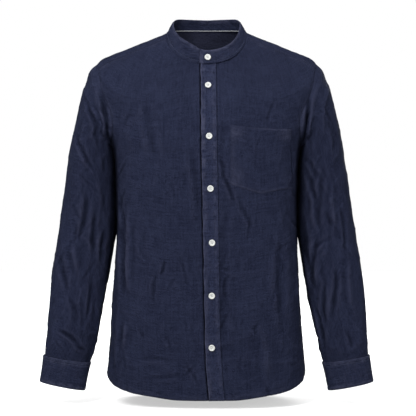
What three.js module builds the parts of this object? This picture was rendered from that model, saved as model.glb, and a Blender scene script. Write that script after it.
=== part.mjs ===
// A long-sleeved shirt with a standing band collar, filled out as it is worn, with no wearer.
// Millimetres, +Z up, front towards -Y, the wearer's left towards +X.
// The origin lies midway between the two points where the shoulder ridges meet the neck.
import * as THREE from 'three';

const WALL = 1.5; // cloth wall
const SEAM = 0.3; // gap between neighbouring pieces
const LIFT = WALL + SEAM; // how far a piece that lies on a panel stands out from it
const DEGREE = Math.PI / 180;

// The body is a stack of rings around the figure. 'up' is the length of cloth from the hem,
// 'side' is the ring's place at the side, and 'front' and 'back' are on the centre lines.
const BODY_RINGS = [
  { up: 0, sideX: 203, sideZ: -694, frontY: -118, frontZ: -744, backY: 122, backZ: -758, square: 2.8 },
  { up: 59, sideX: 200, sideZ: -640, frontY: -119, frontZ: -680, backY: 122, backZ: -690, square: 2.9 },
  { up: 169, sideX: 193, sideZ: -540, frontY: -119, frontZ: -560, backY: 120, backZ: -565, square: 3.0 },
  { up: 290, sideX: 186, sideZ: -425, frontY: -120, frontZ: -432, backY: 120, backZ: -435, square: 3.0 },
  { up: 396, sideX: 185, sideZ: -320, frontY: -122, frontZ: -325, backY: 127, backZ: -325, square: 3.1 },
  { up: 475, sideX: 190, sideZ: -237, frontY: -122, frontZ: -250, backY: 132, backZ: -235, square: 3.0 },
  { up: 543, sideX: 212, sideZ: -150, frontY: -116, frontZ: -205, backY: 132, backZ: -165, square: 2.6 },
  { up: 610, sideX: 226, sideZ: -62, frontY: -104, frontZ: -160, backY: 122, backZ: -105, square: 2.4 },
  { up: 668, sideX: 160, sideZ: -31, frontY: -84, frontZ: -115, backY: 92, backZ: -50, square: 2.3 },
  { up: 711, sideX: 108, sideZ: -10.5, frontY: -68, frontZ: -86, backY: 66, backZ: -12, square: 2.2 },
  { up: 734, sideX: 82, sideZ: 0, frontY: -58, frontZ: -69, backY: 50, backZ: 8, square: 2.1 },
];
const NECK_UP = 734;
const UNDERARM_UP = 475;
const SHOULDER_UP = 612;
const FRONT_SEAM_ANGLE = -9; // the yoke's front seam lies this far ahead of the shoulder ridge
const ARMHOLE_FRONT = 29; // how far the armhole reaches to the front, in degrees round the body
const ARMHOLE_BACK = 28;

// Each fold runs between two places on the body: x as seen from the front or back, up the cloth.
// A positive depth is a ridge, a negative one a trough.
const BODY_FOLDS = [
  { face: 'front', x0: -176, up0: 130, x1: -168, up1: 300, width: 17, depth: -5 },
  { face: 'front', x0: -150, up0: 70, x1: -160, up1: 330, width: 16, depth: 4 },
  { face: 'front', x0: -176, up0: 330, x1: -158, up1: 455, width: 15, depth: -5 },
  { face: 'front', x0: -120, up0: 20, x1: -135, up1: 190, width: 20, depth: -4 },
  { face: 'front', x0: 178, up0: 90, x1: 170, up1: 260, width: 16, depth: -5 },
  { face: 'front', x0: 150, up0: 20, x1: 155, up1: 200, width: 22, depth: 4 },
  { face: 'front', x0: 172, up0: 300, x1: 150, up1: 375, width: 16, depth: -4 },
  { face: 'back', x0: -150, up0: 110, x1: -165, up1: 320, width: 18, depth: -5 },
  { face: 'back', x0: 140, up0: 60, x1: 158, up1: 300, width: 18, depth: -5 },
  { face: 'back', x0: -60, up0: 250, x1: -165, up1: 400, width: 22, depth: 5 },
  { face: 'back', x0: 50, up0: 230, x1: 160, up1: 410, width: 22, depth: 5 },
  { face: 'back', x0: -20, up0: 20, x1: -35, up1: 230, width: 22, depth: 4 },
];

// Rings of the wearer's left sleeve, from the armhole to the cuff: the outermost and innermost
// points as seen from the front, the depth ahead of and behind the middle, and the middle's y.
const SLEEVE_RINGS = [
  { along: 0, outX: 222, outZ: -58, inX: 190.5, inZ: -236, front: 60, back: 61, midY: 4 },
  { along: 0.04, outX: 243, outZ: -86, inX: 192, inZ: -239, front: 66, back: 64, midY: 5 },
  { along: 0.13, outX: 262, outZ: -143, inX: 192, inZ: -248, front: 67, back: 65, midY: 7 },
  { along: 0.21, outX: 276, outZ: -205, inX: 191, inZ: -264, front: 66, back: 65, midY: 9 },
  { along: 0.31, outX: 287, outZ: -270, inX: 190.5, inZ: -300, front: 64, back: 64, midY: 11 },
  { along: 0.42, outX: 298, outZ: -345, inX: 190, inZ: -360, front: 57, back: 56, midY: 11 },
  { along: 0.54, outX: 309, outZ: -420, inX: 190.5, inZ: -428, front: 51, back: 50, midY: 7 },
  { along: 0.7, outX: 321, outZ: -510, inX: 206, inZ: -520, front: 46, back: 45, midY: -3 },
  { along: 0.84, outX: 326.6, outZ: -589, inX: 220, inZ: -602, front: 42, back: 42, midY: -13 },
  { along: 0.95, outX: 329.3, outZ: -643, inX: 234.4, inZ: -659, front: 36, back: 36, midY: -20 },
  { along: 1, outX: 330.9, outZ: -664.8, inX: 240.7, inZ: -679.6, front: 31, back: 31, midY: -22 },
];
const SLEEVE_SQUARE = 2.2;

// Folds of a sleeve: 'turn' is the place round it in degrees, -90 to the front and 0 outermost.
const SLEEVE_FOLDS = {
  left: [
    { turn0: -60, along0: 0.5, turn1: -130, along1: 0.66, width: 17, depth: -7 },
    { turn0: -35, along0: 0.38, turn1: -120, along1: 0.55, width: 18, depth: 6 },
    { turn0: -75, along0: 0.13, turn1: -140, along1: 0.36, width: 19, depth: -7 },
    { turn0: -70, along0: 0.66, turn1: -85, along1: 0.92, width: 17, depth: -6 },
    { turn0: -100, along0: 0.68, turn1: -60, along1: 0.84, width: 17, depth: 6 },
    { turn0: 60, along0: 0.35, turn1: 130, along1: 0.55, width: 19, depth: -7 },
    { turn0: 110, along0: 0.58, turn1: 50, along1: 0.78, width: 18, depth: 6 },
  ],
  right: [
    { turn0: -50, along0: 0.42, turn1: -125, along1: 0.52, width: 17, depth: -7 },
    { turn0: -45, along0: 0.55, turn1: -115, along1: 0.72, width: 17, depth: 6 },
    { turn0: -85, along0: 0.15, turn1: -135, along1: 0.34, width: 19, depth: -7 },
    { turn0: -100, along0: 0.7, turn1: -75, along1: 0.93, width: 17, depth: -6 },
    { turn0: -40, along0: 0.25, turn1: -80, along1: 0.42, width: 18, depth: 5 },
    { turn0: 55, along0: 0.4, turn1: 125, along1: 0.58, width: 19, depth: -7 },
    { turn0: 120, along0: 0.6, turn1: 60, along1: 0.82, width: 18, depth: 6 },
  ],
};

const PLACKET_WIDTH = 31;
const PLACKET_BELOW_COLLAR = 2.5;
const PLACKET_SEAM_X = 15.5; // the two fronts end here, under the placket
// The placket leans to the wearer's left on its way down; 'left' is its free edge.
const PLACKET_LINE = [
  { up: 0, left: 5 },
  { up: 59, left: -0.5 },
  { up: 125, left: -3.2 },
  { up: 300, left: -6.7 },
  { up: 465, left: -9.8 },
  { up: 640, left: -11.2 },
  { up: 734, left: -12 },
];

// The pocket's top edge and side corners lie lower on the cloth towards the arm by the falls.
const POCKET = { topUp: 556, topFall: -29, sideUp: 408, sideFall: -11, pointUp: 388 };
const POCKET_XS = [47, 79, 110, 131, 148, 161, 172]; // x of its columns, edge to edge, with the point's
const POCKET_RISES = [0, 0.25, 0.5, 0.66, 0.78, 0.88, 1]; // its rows, as shares of its height
const POCKET_LIFT = LIFT + 0.5;

// Rings of the collar from its seam at the neck to its top edge.
const COLLAR_RINGS = [
  { rise: 0, sideX: 82, sideZ: 1.3, frontY: -58, frontZ: -67.7, backY: 50, backZ: 9.3 },
  { rise: 0.5, sideX: 77, sideZ: 12.5, frontY: -54.5, frontZ: -54.5, backY: 46.5, backZ: 20 },
  { rise: 1, sideX: 70, sideZ: 24, frontY: -50, frontZ: -41, backY: 42, backZ: 31 },
];
const COLLAR_SQUARE = 2.1;
const COLLAR_HEIGHT = 26;
const COLLAR_WALL = 2;
const COLLAR_OVER_END = -14; // x of the end that lies on top
const COLLAR_UNDER_END = 16; // x of the end that lies beneath
const COLLAR_OVER = COLLAR_WALL + 0.5; // how far the lapping end stands out
const COLLAR_SETTLES = { after: 20, over: 60 }; // degrees from the front in which that dies out
const COLLAR_CORNER = 0.22; // how far the over end's top corner is drawn in

const CUFF_RINGS = [
  { rise: 0, outX: 341.6, outZ: -717, inX: 248.4, inZ: -734, front: 32, back: 32, midY: -25 },
  { rise: 0.5, outX: 337.8, outZ: -689.4, inX: 243, inZ: -705.2, front: 33, back: 33, midY: -24 },
  { rise: 1, outX: 334.3, outZ: -661.3, inX: 236.8, inZ: -676.7, front: 34.3, back: 34.8, midY: -22 },
];
const CUFF_WALL = 2;
const CUFF_LAP = { from: 60, to: 108 }; // where the cuff's ends overlap, in degrees round it
const CUFF_OVER = CUFF_WALL + 2 * SEAM; // how far the lapping end stands out
const CUFF_RISES = { after: 190, over: 90 }; // degrees past the lap in which it comes to do so
const SLEEVE_SLIT = { turn: 96, halfWidth: 11, from: 0.79, to: 0.975, lift: LIFT + 0.5 };

const BUTTON = { diameter: 12.7, thickness: 3, rim: 0.9, dish: 0.8, holeRadius: 1.3, holeAt: 1.6 };
const BUTTON_LINE = [
  { up: 667, x: 3.2 },
  { up: 521, x: 5.2 },
  { up: 398.6, x: 7.8 },
  { up: 292, x: 10.9 },
  { up: 192, x: 10.4 },
  { up: 97, x: 10.4 },
];
const COLLAR_BUTTON = { x: 2.4, rise: 0.42 };
const BUTTON_SIDES = 14;
const BUTTON_HOLE_SIDES = 4;
const BUTTON_CLEARANCE = 0.5; // for a flat button on a round cuff

// Piping along the inside of the back collar seam; 'rise' is a share of the collar's height.
const PIPING = { height: 3, fromAngle: 14, rise: 0.1, clearance: 1 };

// The back's top edge rises towards the middle, so that the yoke seam runs level.
const YOKE_TURN = 60; // where the yoke's back seam meets the armhole
const SEAM_RISE = 25;
const RISE_ABOVE = 12; // what is left of the rise at the shoulder's height
const RISE_FALLS = 2.2; // how fast it dies out below the seam

const SLEEVE_START = 0.1; // the part of the sleeve in which the armhole's shape dies out
const ARMHOLE_INSET = 0.9; // how far inside the armhole the sleeve starts
const ARMHOLE_OUT = 0.35; // and how far out from the body's surface
const SLEEVE_LENGTH = 640;
const SLEEVE_RADIUS = 55;
const ELBOW_ALONG = 0.42; // the upper and lower parts of a sleeve meet here

// Folds are placed on a flat chart of the cloth, on which an angle is turned into a length.
const FOLD_CHART_RADIUS = 175;
const FOLD_ENDS = { beyond: 0.1, over: 0.4 }; // shares of a fold's length in which it dies out
const SLEEVE_FOLDS_END = { at: 150, over: 40 }; // no folds where the sleeve meets the side

const ARMHOLE_STEPS = 12; // half of the sleeve's columns
const BODY_ROWS_BELOW = 15;
const SIDE_COLUMNS = 3; // of a front, past the pocket
const BACK_COLUMNS = 18;
const NECK_ROWS = 5;
const SLEEVE_ROWS = 22;
const SLEEVE_FIRST_ROW = 0.012;
const SLEEVE_ROWS_GROW = 1.15; // the rows lie closer together near the armhole
const SLIT_ROWS = 4;
const CUFF_STEPS = 30;
const COLLAR_STEPS = 36;

// Steps in which a surface is sampled for its normal.
const BODY_STEP = { angle: 0.2, up: 0.5 };
const SLEEVE_STEP = { turn: 1, along: 0.002 };
const BAND_STEP = { angle: 1, rise: 0.01 };

const cloth = (color) => new THREE.MeshStandardMaterial({ color, roughness: 0.92, metalness: 0 });
const MATERIALS = {
  linen: cloth(0x272c42),
  placket: cloth(0x2b3046),
  piping: cloth(0xa9abb0),
  button: new THREE.MeshStandardMaterial({ color: 0xe7e9e6, roughness: 0.3, metalness: 0 }),
};

const shirt = new THREE.Group();

function addMesh(name, geometry, material) {
  const mesh = new THREE.Mesh(geometry, material);
  mesh.name = name;
  shirt.add(mesh);
}

const clamp = (value, low, high) => Math.min(high, Math.max(low, value));
const mix = (a, b, t) => a + (b - a) * t;

function smooth(value) {
  const t = clamp(value, 0, 1);
  return t * t * (3 - 2 * t);
}

// Reads every column of a table at one place of its key column, on a smooth curve.
function read(table, key, at) {
  const last = table.length - 1;
  let i = 0;
  while (i < last - 1 && at > table[i + 1][key]) i++;
  const step = table[i + 1][key] - table[i][key];
  const t = (at - table[i][key]) / step;
  const slope = (row, column) => {
    const before = table[Math.max(row - 1, 0)];
    const after = table[Math.min(row + 1, last)];
    return (after[column] - before[column]) / (after[key] - before[key]);
  };
  const values = {};
  for (const column of Object.keys(table[0])) {
    const a = table[i][column];
    const b = table[i + 1][column];
    values[column] =
      a * (1 + 2 * t) * (1 - t) ** 2 +
      b * t * t * (3 - 2 * t) +
      slope(i, column) * step * t * (1 - t) ** 2 -
      slope(i + 1, column) * step * t * t * (1 - t);
  }
  return values;
}

// A point of a ring round the neck or body; angle 0 is the side at +X and -90 the front.
function ringPoint(ring, square, angle) {
  const cos = Math.cos(angle * DEGREE);
  const sin = Math.sin(angle * DEGREE);
  const k = (Math.abs(cos) ** square + Math.abs(sin) ** square) ** (-1 / square);
  const share = k * Math.abs(sin);
  const y = sin < 0 ? ring.frontY : ring.backY;
  const z = sin < 0 ? ring.frontZ : ring.backZ;
  return new THREE.Vector3(ring.sideX * k * cos, y * share, mix(ring.sideZ, z, share));
}

function plainBody(angle, up) {
  const ring = read(BODY_RINGS, 'up', up);
  return ringPoint(ring, ring.square, angle);
}

// The angle at which a ring has a given x, on the front or the back.
function angleAt(face, up, x) {
  const ring = read(BODY_RINGS, 'up', up);
  const c = clamp(Math.abs(x) / ring.sideX, 0, 0.9999);
  const s = (1 - c ** ring.square) ** (1 / ring.square);
  const angle = Math.atan2(s, c) / DEGREE;
  const turned = x < 0 ? 180 - angle : angle;
  return face === 'front' ? -turned : turned;
}

function foldHeight(folds, place) {
  let height = 0;
  for (const fold of folds) {
    const run = fold.to.clone().sub(fold.from);
    const t = place.clone().sub(fold.from).dot(run) / run.lengthSq();
    const nearest = fold.from.clone().addScaledVector(run, clamp(t, 0, 1));
    const away = nearest.distanceTo(place) / fold.width;
    const start = smooth((t + FOLD_ENDS.beyond) / FOLD_ENDS.over);
    const end = smooth((1 + FOLD_ENDS.beyond - t) / FOLD_ENDS.over);
    height += fold.depth * Math.exp(-away * away) * start * end;
  }
  return height;
}

const wrapped = (angle) => (((angle + 270) % 360) + 360) % 360 - 270;
const bodyChart = (angle, up) => new THREE.Vector2(wrapped(angle) * DEGREE * FOLD_CHART_RADIUS, up);

const bodyFolds = BODY_FOLDS.map((fold) => ({
  ...fold,
  from: bodyChart(angleAt(fold.face, fold.up0, fold.x0), fold.up0),
  to: bodyChart(angleAt(fold.face, fold.up1, fold.x1), fold.up1),
}));

// Samples a surface: its point and the outward normal, from two short steps along it.
function surface(point, a, b, steps) {
  const [stepA, stepB] = Object.values(steps);
  const along = point(a + stepA, b).sub(point(a - stepA, b));
  const across = point(a, b + stepB).sub(point(a, b - stepB));
  return { point: point(a, b), normal: along.cross(across).normalize() };
}

const moved = (place, distance) => place.point.clone().addScaledVector(place.normal, distance);

// A place on the body's cloth, with its folds; 'lift' moves it out along the normal.
function bodyPlace(angle, up, lift = 0) {
  const inside = clamp(up, 1, NECK_UP - 1);
  const place = surface(plainBody, angle, inside, BODY_STEP);
  place.point = plainBody(angle, up);
  place.point = moved(place, lift + foldHeight(bodyFolds, bodyChart(angle, up)));
  return place;
}

// Closes a grid of places into a wall: rows run along the first index and columns along the
// second. Seen from outside, columns run to the right when rows run up.
function clothWall(grid, { thickness = WALL, tube = false } = {}) {
  const rows = grid.length;
  const columns = grid[0].length;
  const positions = [];
  for (const row of grid) for (const place of row) positions.push(...place.point.toArray());
  for (const row of grid) {
    for (const place of row) positions.push(...moved(place, -thickness).toArray());
  }
  const outer = (i, j) => i * columns + (j % columns);
  const inner = (i, j) => rows * columns + outer(i, j);
  const faces = [];
  const quad = (a, b, c, d) => faces.push(a, b, c, a, c, d);
  const spans = tube ? columns : columns - 1;
  for (let i = 0; i < rows - 1; i++) {
    for (let j = 0; j < spans; j++) {
      quad(outer(i, j), outer(i, j + 1), outer(i + 1, j + 1), outer(i + 1, j));
      quad(inner(i, j), inner(i + 1, j), inner(i + 1, j + 1), inner(i, j + 1));
    }
    if (!tube) {
      quad(outer(i, 0), outer(i + 1, 0), inner(i + 1, 0), inner(i, 0));
      const end = columns - 1;
      quad(outer(i, end), inner(i, end), inner(i + 1, end), outer(i + 1, end));
    }
  }
  const top = rows - 1;
  for (let j = 0; j < spans; j++) {
    quad(outer(0, j), inner(0, j), inner(0, j + 1), outer(0, j + 1));
    quad(outer(top, j), outer(top, j + 1), inner(top, j + 1), inner(top, j));
  }
  const geometry = new THREE.BufferGeometry();
  geometry.setAttribute('position', new THREE.Float32BufferAttribute(positions, 3));
  geometry.setIndex(faces);
  const facesOut = volume(positions, faces) > 0;
  if (!facesOut) {
    for (let f = 0; f < faces.length; f += 3) [faces[f + 1], faces[f + 2]] = [faces[f + 2], faces[f + 1]];
    geometry.setIndex(faces);
  }
  geometry.computeVertexNormals();
  return geometry;
}

function volume(positions, faces) {
  const corner = (index) => new THREE.Vector3().fromArray(positions, index * 3);
  let sum = 0;
  for (let f = 0; f < faces.length; f += 3) {
    sum += corner(faces[f]).dot(corner(faces[f + 1]).cross(corner(faces[f + 2])));
  }
  return sum / 6;
}

// The armhole is an oval on the body. 'turn' is 0 at the shoulder, -90 at the front, 180 under
// the arm; 'inset' makes the oval smaller by a length of cloth.
function armhole(turn, inset = 0) {
  const middle = (UNDERARM_UP + SHOULDER_UP) / 2;
  const half = (SHOULDER_UP - UNDERARM_UP) / 2;
  const cos = Math.cos(turn * DEGREE);
  const sin = Math.sin(turn * DEGREE);
  const reach = sin < 0 ? ARMHOLE_FRONT : ARMHOLE_BACK;
  const centre = (FRONT_SEAM_ANGLE * (1 + cos)) / 2;
  const insetAngle = inset / (FOLD_CHART_RADIUS * DEGREE);
  return { up: middle + (half - inset) * cos, angle: centre + (reach - insetAngle) * sin };
}

// Rows of the body panels, up the side: even below the armhole, then at the sleeve's columns.
const armholeTurns = [];
for (let i = 0; i <= ARMHOLE_STEPS; i++) armholeTurns.push(180 - (180 * i) / ARMHOLE_STEPS);
const rowsBelow = [];
for (let i = 0; i < BODY_ROWS_BELOW; i++) rowsBelow.push((UNDERARM_UP * i) / BODY_ROWS_BELOW);
const rowsAbove = [];
for (let i = 1; i <= NECK_ROWS; i++) rowsAbove.push(mix(SHOULDER_UP, NECK_UP, i / NECK_ROWS));

const halfSeam = SEAM / 2 / (FOLD_CHART_RADIUS * DEGREE); // half a seam's gap as an angle

// The front panel's outer boundary: side seam, armhole and yoke seam, from hem to neck.
function frontEdge(up) {
  if (up <= UNDERARM_UP) return -halfSeam;
  if (up >= SHOULDER_UP) return FRONT_SEAM_ANGLE - halfSeam * 2;
  const turn = Math.acos((2 * up - UNDERARM_UP - SHOULDER_UP) / (SHOULDER_UP - UNDERARM_UP)) / DEGREE;
  return armhole(-turn).angle - halfSeam;
}

const frontRows = [...rowsBelow, ...armholeTurns.map((turn) => armhole(turn).up), ...rowsAbove];
const placketLeft = (up) => read(PLACKET_LINE, 'up', up).left;

// Angles of a front's columns, from the placket seam to the outer edge. They run along the
// pocket's columns where the pocket is, and keep the same shares of the row elsewhere.
function frontColumns(side, up) {
  const placketX = placketLeft(up) + (side > 0 ? PLACKET_WIDTH : 0);
  const seam = angleAt('front', up, PLACKET_SEAM_X + side * SEAM);
  const start = angleAt('front', up, placketX);
  const end = side > 0 ? frontEdge(up) : -180 - frontEdge(up);
  const level = clamp(up, POCKET.pointUp, POCKET.topUp);
  const levelStart = angleAt('front', level, side * (placketLeft(level) + PLACKET_WIDTH));
  const levelEnd = side > 0 ? frontEdge(level) : -180 - frontEdge(level);
  const share = (x) => (angleAt('front', level, side * x) - levelStart) / (levelEnd - levelStart);
  const shares = POCKET_XS.map(share);
  for (let j = 1; j <= SIDE_COLUMNS; j++) shares.push(mix(shares.at(-1), 1, 1 / (SIDE_COLUMNS - j + 1)));
  return [seam, start, ...shares.map((value) => mix(start, end, value))];
}

function frontPanel(side) {
  return frontRows.map((up) => frontColumns(side, up).map((angle) => bodyPlace(angle, up)));
}

addMesh('front_left', clothWall(frontPanel(1)), MATERIALS.linen);
addMesh('front_right', clothWall(frontPanel(-1)), MATERIALS.linen);

const placketGrid = frontRows.map((row) => {
  const up = Math.min(row, NECK_UP - PLACKET_BELOW_COLLAR);
  const left = placketLeft(up);
  const xs = [left, PLACKET_SEAM_X, left + PLACKET_WIDTH];
  return xs.map((x) => bodyPlace(angleAt('front', up, x), up, LIFT));
});
addMesh('placket', clothWall(placketGrid), MATERIALS.placket);

const yokeIndex = armholeTurns.findIndex((turn) => turn <= YOKE_TURN);

function centreShare(angle, edge) {
  return smooth((90 - Math.abs(angle - 90) - edge) / (90 - edge));
}

const backBoundary = [
  ...rowsBelow.map((up) => ({ up, angle: halfSeam, rise: 0 })),
  ...armholeTurns.slice(0, yokeIndex + 1).map((turn, i) => {
    const hole = armhole(turn);
    return { up: hole.up, angle: hole.angle + halfSeam, rise: SEAM_RISE * (i / yokeIndex) ** RISE_FALLS };
  }),
];

function backRow({ up, angle: edge, rise }, columns, lower = 0) {
  const row = [];
  for (let j = 0; j <= columns; j++) {
    const angle = mix(edge, 180 - edge, j / columns);
    row.push(bodyPlace(angle, up - lower + rise * centreShare(angle, edge)));
  }
  return row;
}

const backGrid = backBoundary.map((row, i) =>
  backRow(row, BACK_COLUMNS, i === backBoundary.length - 1 ? SEAM : 0),
);
addMesh('back', clothWall(backGrid), MATERIALS.linen);

const yokeBoundary = [
  ...armholeTurns.slice(yokeIndex).map((turn) => {
    const hole = armhole(turn);
    const rise = mix(RISE_ABOVE, SEAM_RISE, turn / YOKE_TURN);
    return { up: hole.up, angle: hole.angle + halfSeam, rise };
  }),
  ...rowsAbove.map((up, i) => ({ up, angle: FRONT_SEAM_ANGLE, rise: RISE_ABOVE * (1 - (i + 1) / NECK_ROWS) })),
];
addMesh('yoke', clothWall(yokeBoundary.map((row) => backRow(row, BACK_COLUMNS))), MATERIALS.linen);

// A point of a ring whose outermost and innermost points are given, as on a sleeve or cuff.
function armRingPoint(ring, square, turn) {
  const cos = Math.cos(turn * DEGREE);
  const sin = Math.sin(turn * DEGREE);
  const k = (Math.abs(cos) ** square + Math.abs(sin) ** square) ** (-1 / square);
  const share = (1 + k * cos) / 2;
  const depth = sin < 0 ? ring.front : ring.back;
  return new THREE.Vector3(
    mix(ring.inX, ring.outX, share),
    ring.midY + depth * k * sin,
    mix(ring.inZ, ring.outZ, share),
  );
}

function plainSleeve(turn, along) {
  const point = armRingPoint(read(SLEEVE_RINGS, 'along', along), SLEEVE_SQUARE, turn);
  if (along >= SLEEVE_START) return point;
  const start = armRingPoint(SLEEVE_RINGS[0], SLEEVE_SQUARE, turn);
  const hole = armhole(turn, ARMHOLE_INSET);
  const seam = moved(surface(plainBody, hole.angle, hole.up, BODY_STEP), ARMHOLE_OUT);
  const fade = 1 - smooth(along / SLEEVE_START);
  return point.addScaledVector(seam.sub(start), fade);
}

const sleeveChart = (turn, along) => new THREE.Vector2(turn * DEGREE * SLEEVE_RADIUS, along * SLEEVE_LENGTH);

function sleeveFolds(side) {
  return SLEEVE_FOLDS[side].map((fold) => ({
    ...fold,
    from: sleeveChart(fold.turn0, fold.along0),
    to: sleeveChart(fold.turn1, fold.along1),
  }));
}

const sleeveCentre = (ring) =>
  new THREE.Vector3((ring.inX + ring.outX) / 2, ring.midY, (ring.inZ + ring.outZ) / 2);

// A place on the left sleeve. Next to the armhole its wall points to the middle of the sleeve.
function sleevePlace(turn, along, folds, lift = 0) {
  const inside = clamp(along, SLEEVE_STEP.along, 1 - SLEEVE_STEP.along);
  const place = surface(plainSleeve, turn, inside, SLEEVE_STEP);
  place.point = plainSleeve(turn, along);
  const ring = read(SLEEVE_RINGS, 'along', along);
  const outward = place.point.clone().sub(sleeveCentre(ring)).normalize();
  if (place.normal.dot(outward) < 0) place.normal.negate();
  const fade = 1 - smooth(along / SLEEVE_START);
  place.normal.lerp(outward, fade).normalize();
  const clear = smooth((SLEEVE_FOLDS_END.at - Math.abs(turn)) / SLEEVE_FOLDS_END.over);
  place.point = moved(place, lift + clear * foldHeight(folds, sleeveChart(turn, along)));
  return place;
}

function mirrored(place) {
  const flip = (v) => new THREE.Vector3(-v.x, v.y, v.z);
  return { point: flip(place.point), normal: flip(place.normal) };
}

const sleeveRows = [0, SLEEVE_FIRST_ROW];
for (let i = 1; i <= SLEEVE_ROWS; i++) {
  sleeveRows.push(mix(SLEEVE_FIRST_ROW, 1, (i / SLEEVE_ROWS) ** SLEEVE_ROWS_GROW));
}
const elbowGap = SEAM / 2 / SLEEVE_LENGTH;
const upperRows = [...sleeveRows.filter((along) => along < ELBOW_ALONG - 0.01), ELBOW_ALONG - elbowGap];
const lowerRows = [ELBOW_ALONG + elbowGap, ...sleeveRows.filter((along) => along > ELBOW_ALONG + 0.01)];

function armPieces(side) {
  const sided = (place) => (side === 'left' ? place : mirrored(place));
  const folds = sleeveFolds(side);
  const turns = [];
  for (let j = 0; j < 2 * ARMHOLE_STEPS; j++) turns.push(-180 + (180 * j) / ARMHOLE_STEPS);
  const tube = (rows) => {
    const grid = rows.map((along) => turns.map((turn) => sided(sleevePlace(turn, along, folds))));
    return clothWall(grid, { tube: true });
  };
  addMesh(`sleeve_${side}_upper`, tube(upperRows), MATERIALS.linen);
  addMesh(`sleeve_${side}_lower`, tube(lowerRows), MATERIALS.linen);

  const half = SLEEVE_SLIT.halfWidth / (SLEEVE_RADIUS * DEGREE);
  const slit = [];
  for (let i = 0; i <= SLIT_ROWS; i++) {
    const along = mix(SLEEVE_SLIT.from, SLEEVE_SLIT.to, i / SLIT_ROWS);
    const across = [-1, 0, 1];
    const place = (k) => sleevePlace(SLEEVE_SLIT.turn + k * half, along, folds, SLEEVE_SLIT.lift);
    slit.push(across.map((k) => sided(place(k))));
  }
  addMesh(`sleeve_placket_${side}`, clothWall(slit), MATERIALS.placket);

  const cuff = [0, 0.5, 1].map((rise) => cuffRow(rise).map(sided));
  addMesh(`cuff_${side}`, clothWall(cuff, { thickness: CUFF_WALL }), MATERIALS.linen);
  const middle = (CUFF_LAP.from + CUFF_LAP.to) / 2;
  const seat = sided(cuffPlace(middle, 0.5, CUFF_OVER + BUTTON_CLEARANCE));
  addMesh(`cuff_button_${side}`, buttonOn(seat), MATERIALS.button);
}

function cuffPlace(turn, rise, lift) {
  const point = (t, r) => armRingPoint(read(CUFF_RINGS, 'rise', r), SLEEVE_SQUARE, t);
  const place = surface(point, turn, clamp(rise, BAND_STEP.rise, 1 - BAND_STEP.rise), BAND_STEP);
  place.point = point(turn, rise);
  const outward = place.point.clone().sub(sleeveCentre(read(CUFF_RINGS, 'rise', rise)));
  if (place.normal.dot(outward) < 0) place.normal.negate();
  place.point = moved(place, lift);
  return place;
}

// The cuff goes once round and its end laps over its start.
function cuffRow(rise) {
  const row = [];
  const whole = 360 + CUFF_LAP.to - CUFF_LAP.from;
  for (let j = 0; j <= CUFF_STEPS; j++) {
    const turn = CUFF_LAP.from + (whole * j) / CUFF_STEPS;
    const over = smooth((turn - CUFF_LAP.to - CUFF_RISES.after) / CUFF_RISES.over);
    row.push(cuffPlace(turn, rise, over * CUFF_OVER));
  }
  return row;
}

function circle(x, y, radius, sides) {
  const points = [];
  for (let i = 0; i < sides; i++) {
    const angle = (2 * Math.PI * i) / sides;
    points.push(new THREE.Vector2(x + radius * Math.cos(angle), y + radius * Math.sin(angle)));
  }
  return points;
}

// A button with four holes, lying on a place of the cloth.
function buttonOn({ point, normal }) {
  const { diameter, thickness, rim, dish, holeRadius, holeAt } = BUTTON;
  const disc = new THREE.Shape(circle(0, 0, diameter / 2 - rim, BUTTON_SIDES));
  for (const [x, y] of [[1, 1], [-1, 1], [-1, -1], [1, -1]]) {
    disc.holes.push(new THREE.Path(circle(x * holeAt, y * holeAt, holeRadius, BUTTON_HOLE_SIDES)));
  }
  const geometry = new THREE.ExtrudeGeometry(disc, {
    depth: thickness - 2 * dish,
    bevelThickness: dish,
    bevelSize: rim,
    bevelSegments: 1,
    steps: 1,
  });
  geometry.translate(0, 0, dish + SEAM);
  const upward = new THREE.Vector3(0, 0, 1);
  const turn = new THREE.Quaternion().setFromUnitVectors(upward, normal.clone().normalize());
  return geometry.applyQuaternion(turn).translate(point.x, point.y, point.z);
}

armPieces('left');
armPieces('right');

// The collar goes once round the neck; its left end lies over its right end at the front.
function collarPlace(angle, rise, lift) {
  const point = (a, r) => ringPoint(read(COLLAR_RINGS, 'rise', r), COLLAR_SQUARE, a);
  const place = surface(point, angle, clamp(rise, BAND_STEP.rise, 1 - BAND_STEP.rise), BAND_STEP);
  place.point = point(angle, rise);
  const outward = new THREE.Vector3(place.point.x, place.point.y, 0);
  if (place.normal.dot(outward) < 0) place.normal.negate();
  place.point = moved(place, lift);
  return place;
}

function collarAngle(rise, x) {
  const ring = read(COLLAR_RINGS, 'rise', rise);
  const c = Math.abs(x) / ring.sideX;
  const s = (1 - c ** COLLAR_SQUARE) ** (1 / COLLAR_SQUARE);
  const angle = Math.atan2(s, c) / DEGREE;
  return x < 0 ? -180 + angle : -angle;
}

// From the over end, towards the wearer's left, round the back, to the under end.
function collarRow(rise) {
  const from = collarAngle(rise, COLLAR_OVER_END);
  const to = collarAngle(rise, COLLAR_UNDER_END) + 360;
  const row = [];
  for (let j = 0; j <= COLLAR_STEPS; j++) {
    const angle = mix(from, to, j / COLLAR_STEPS);
    const over = 1 - smooth((angle + 90 - COLLAR_SETTLES.after) / COLLAR_SETTLES.over);
    row.push(collarPlace(angle, rise, over * COLLAR_OVER));
  }
  return row;
}

const collarGrid = [0, 0.5, 1].map(collarRow);
// The over end's top corner is rounded off.
collarGrid[2][0].point.lerp(collarGrid[1][1].point, COLLAR_CORNER);
addMesh('collar', clothWall(collarGrid, { thickness: COLLAR_WALL }), MATERIALS.linen);
const collarButtonAngle = collarAngle(COLLAR_BUTTON.rise, COLLAR_BUTTON.x);
const collarSeat = collarPlace(collarButtonAngle, COLLAR_BUTTON.rise, COLLAR_OVER);
addMesh('button_1', buttonOn(collarSeat), MATERIALS.button);

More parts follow.
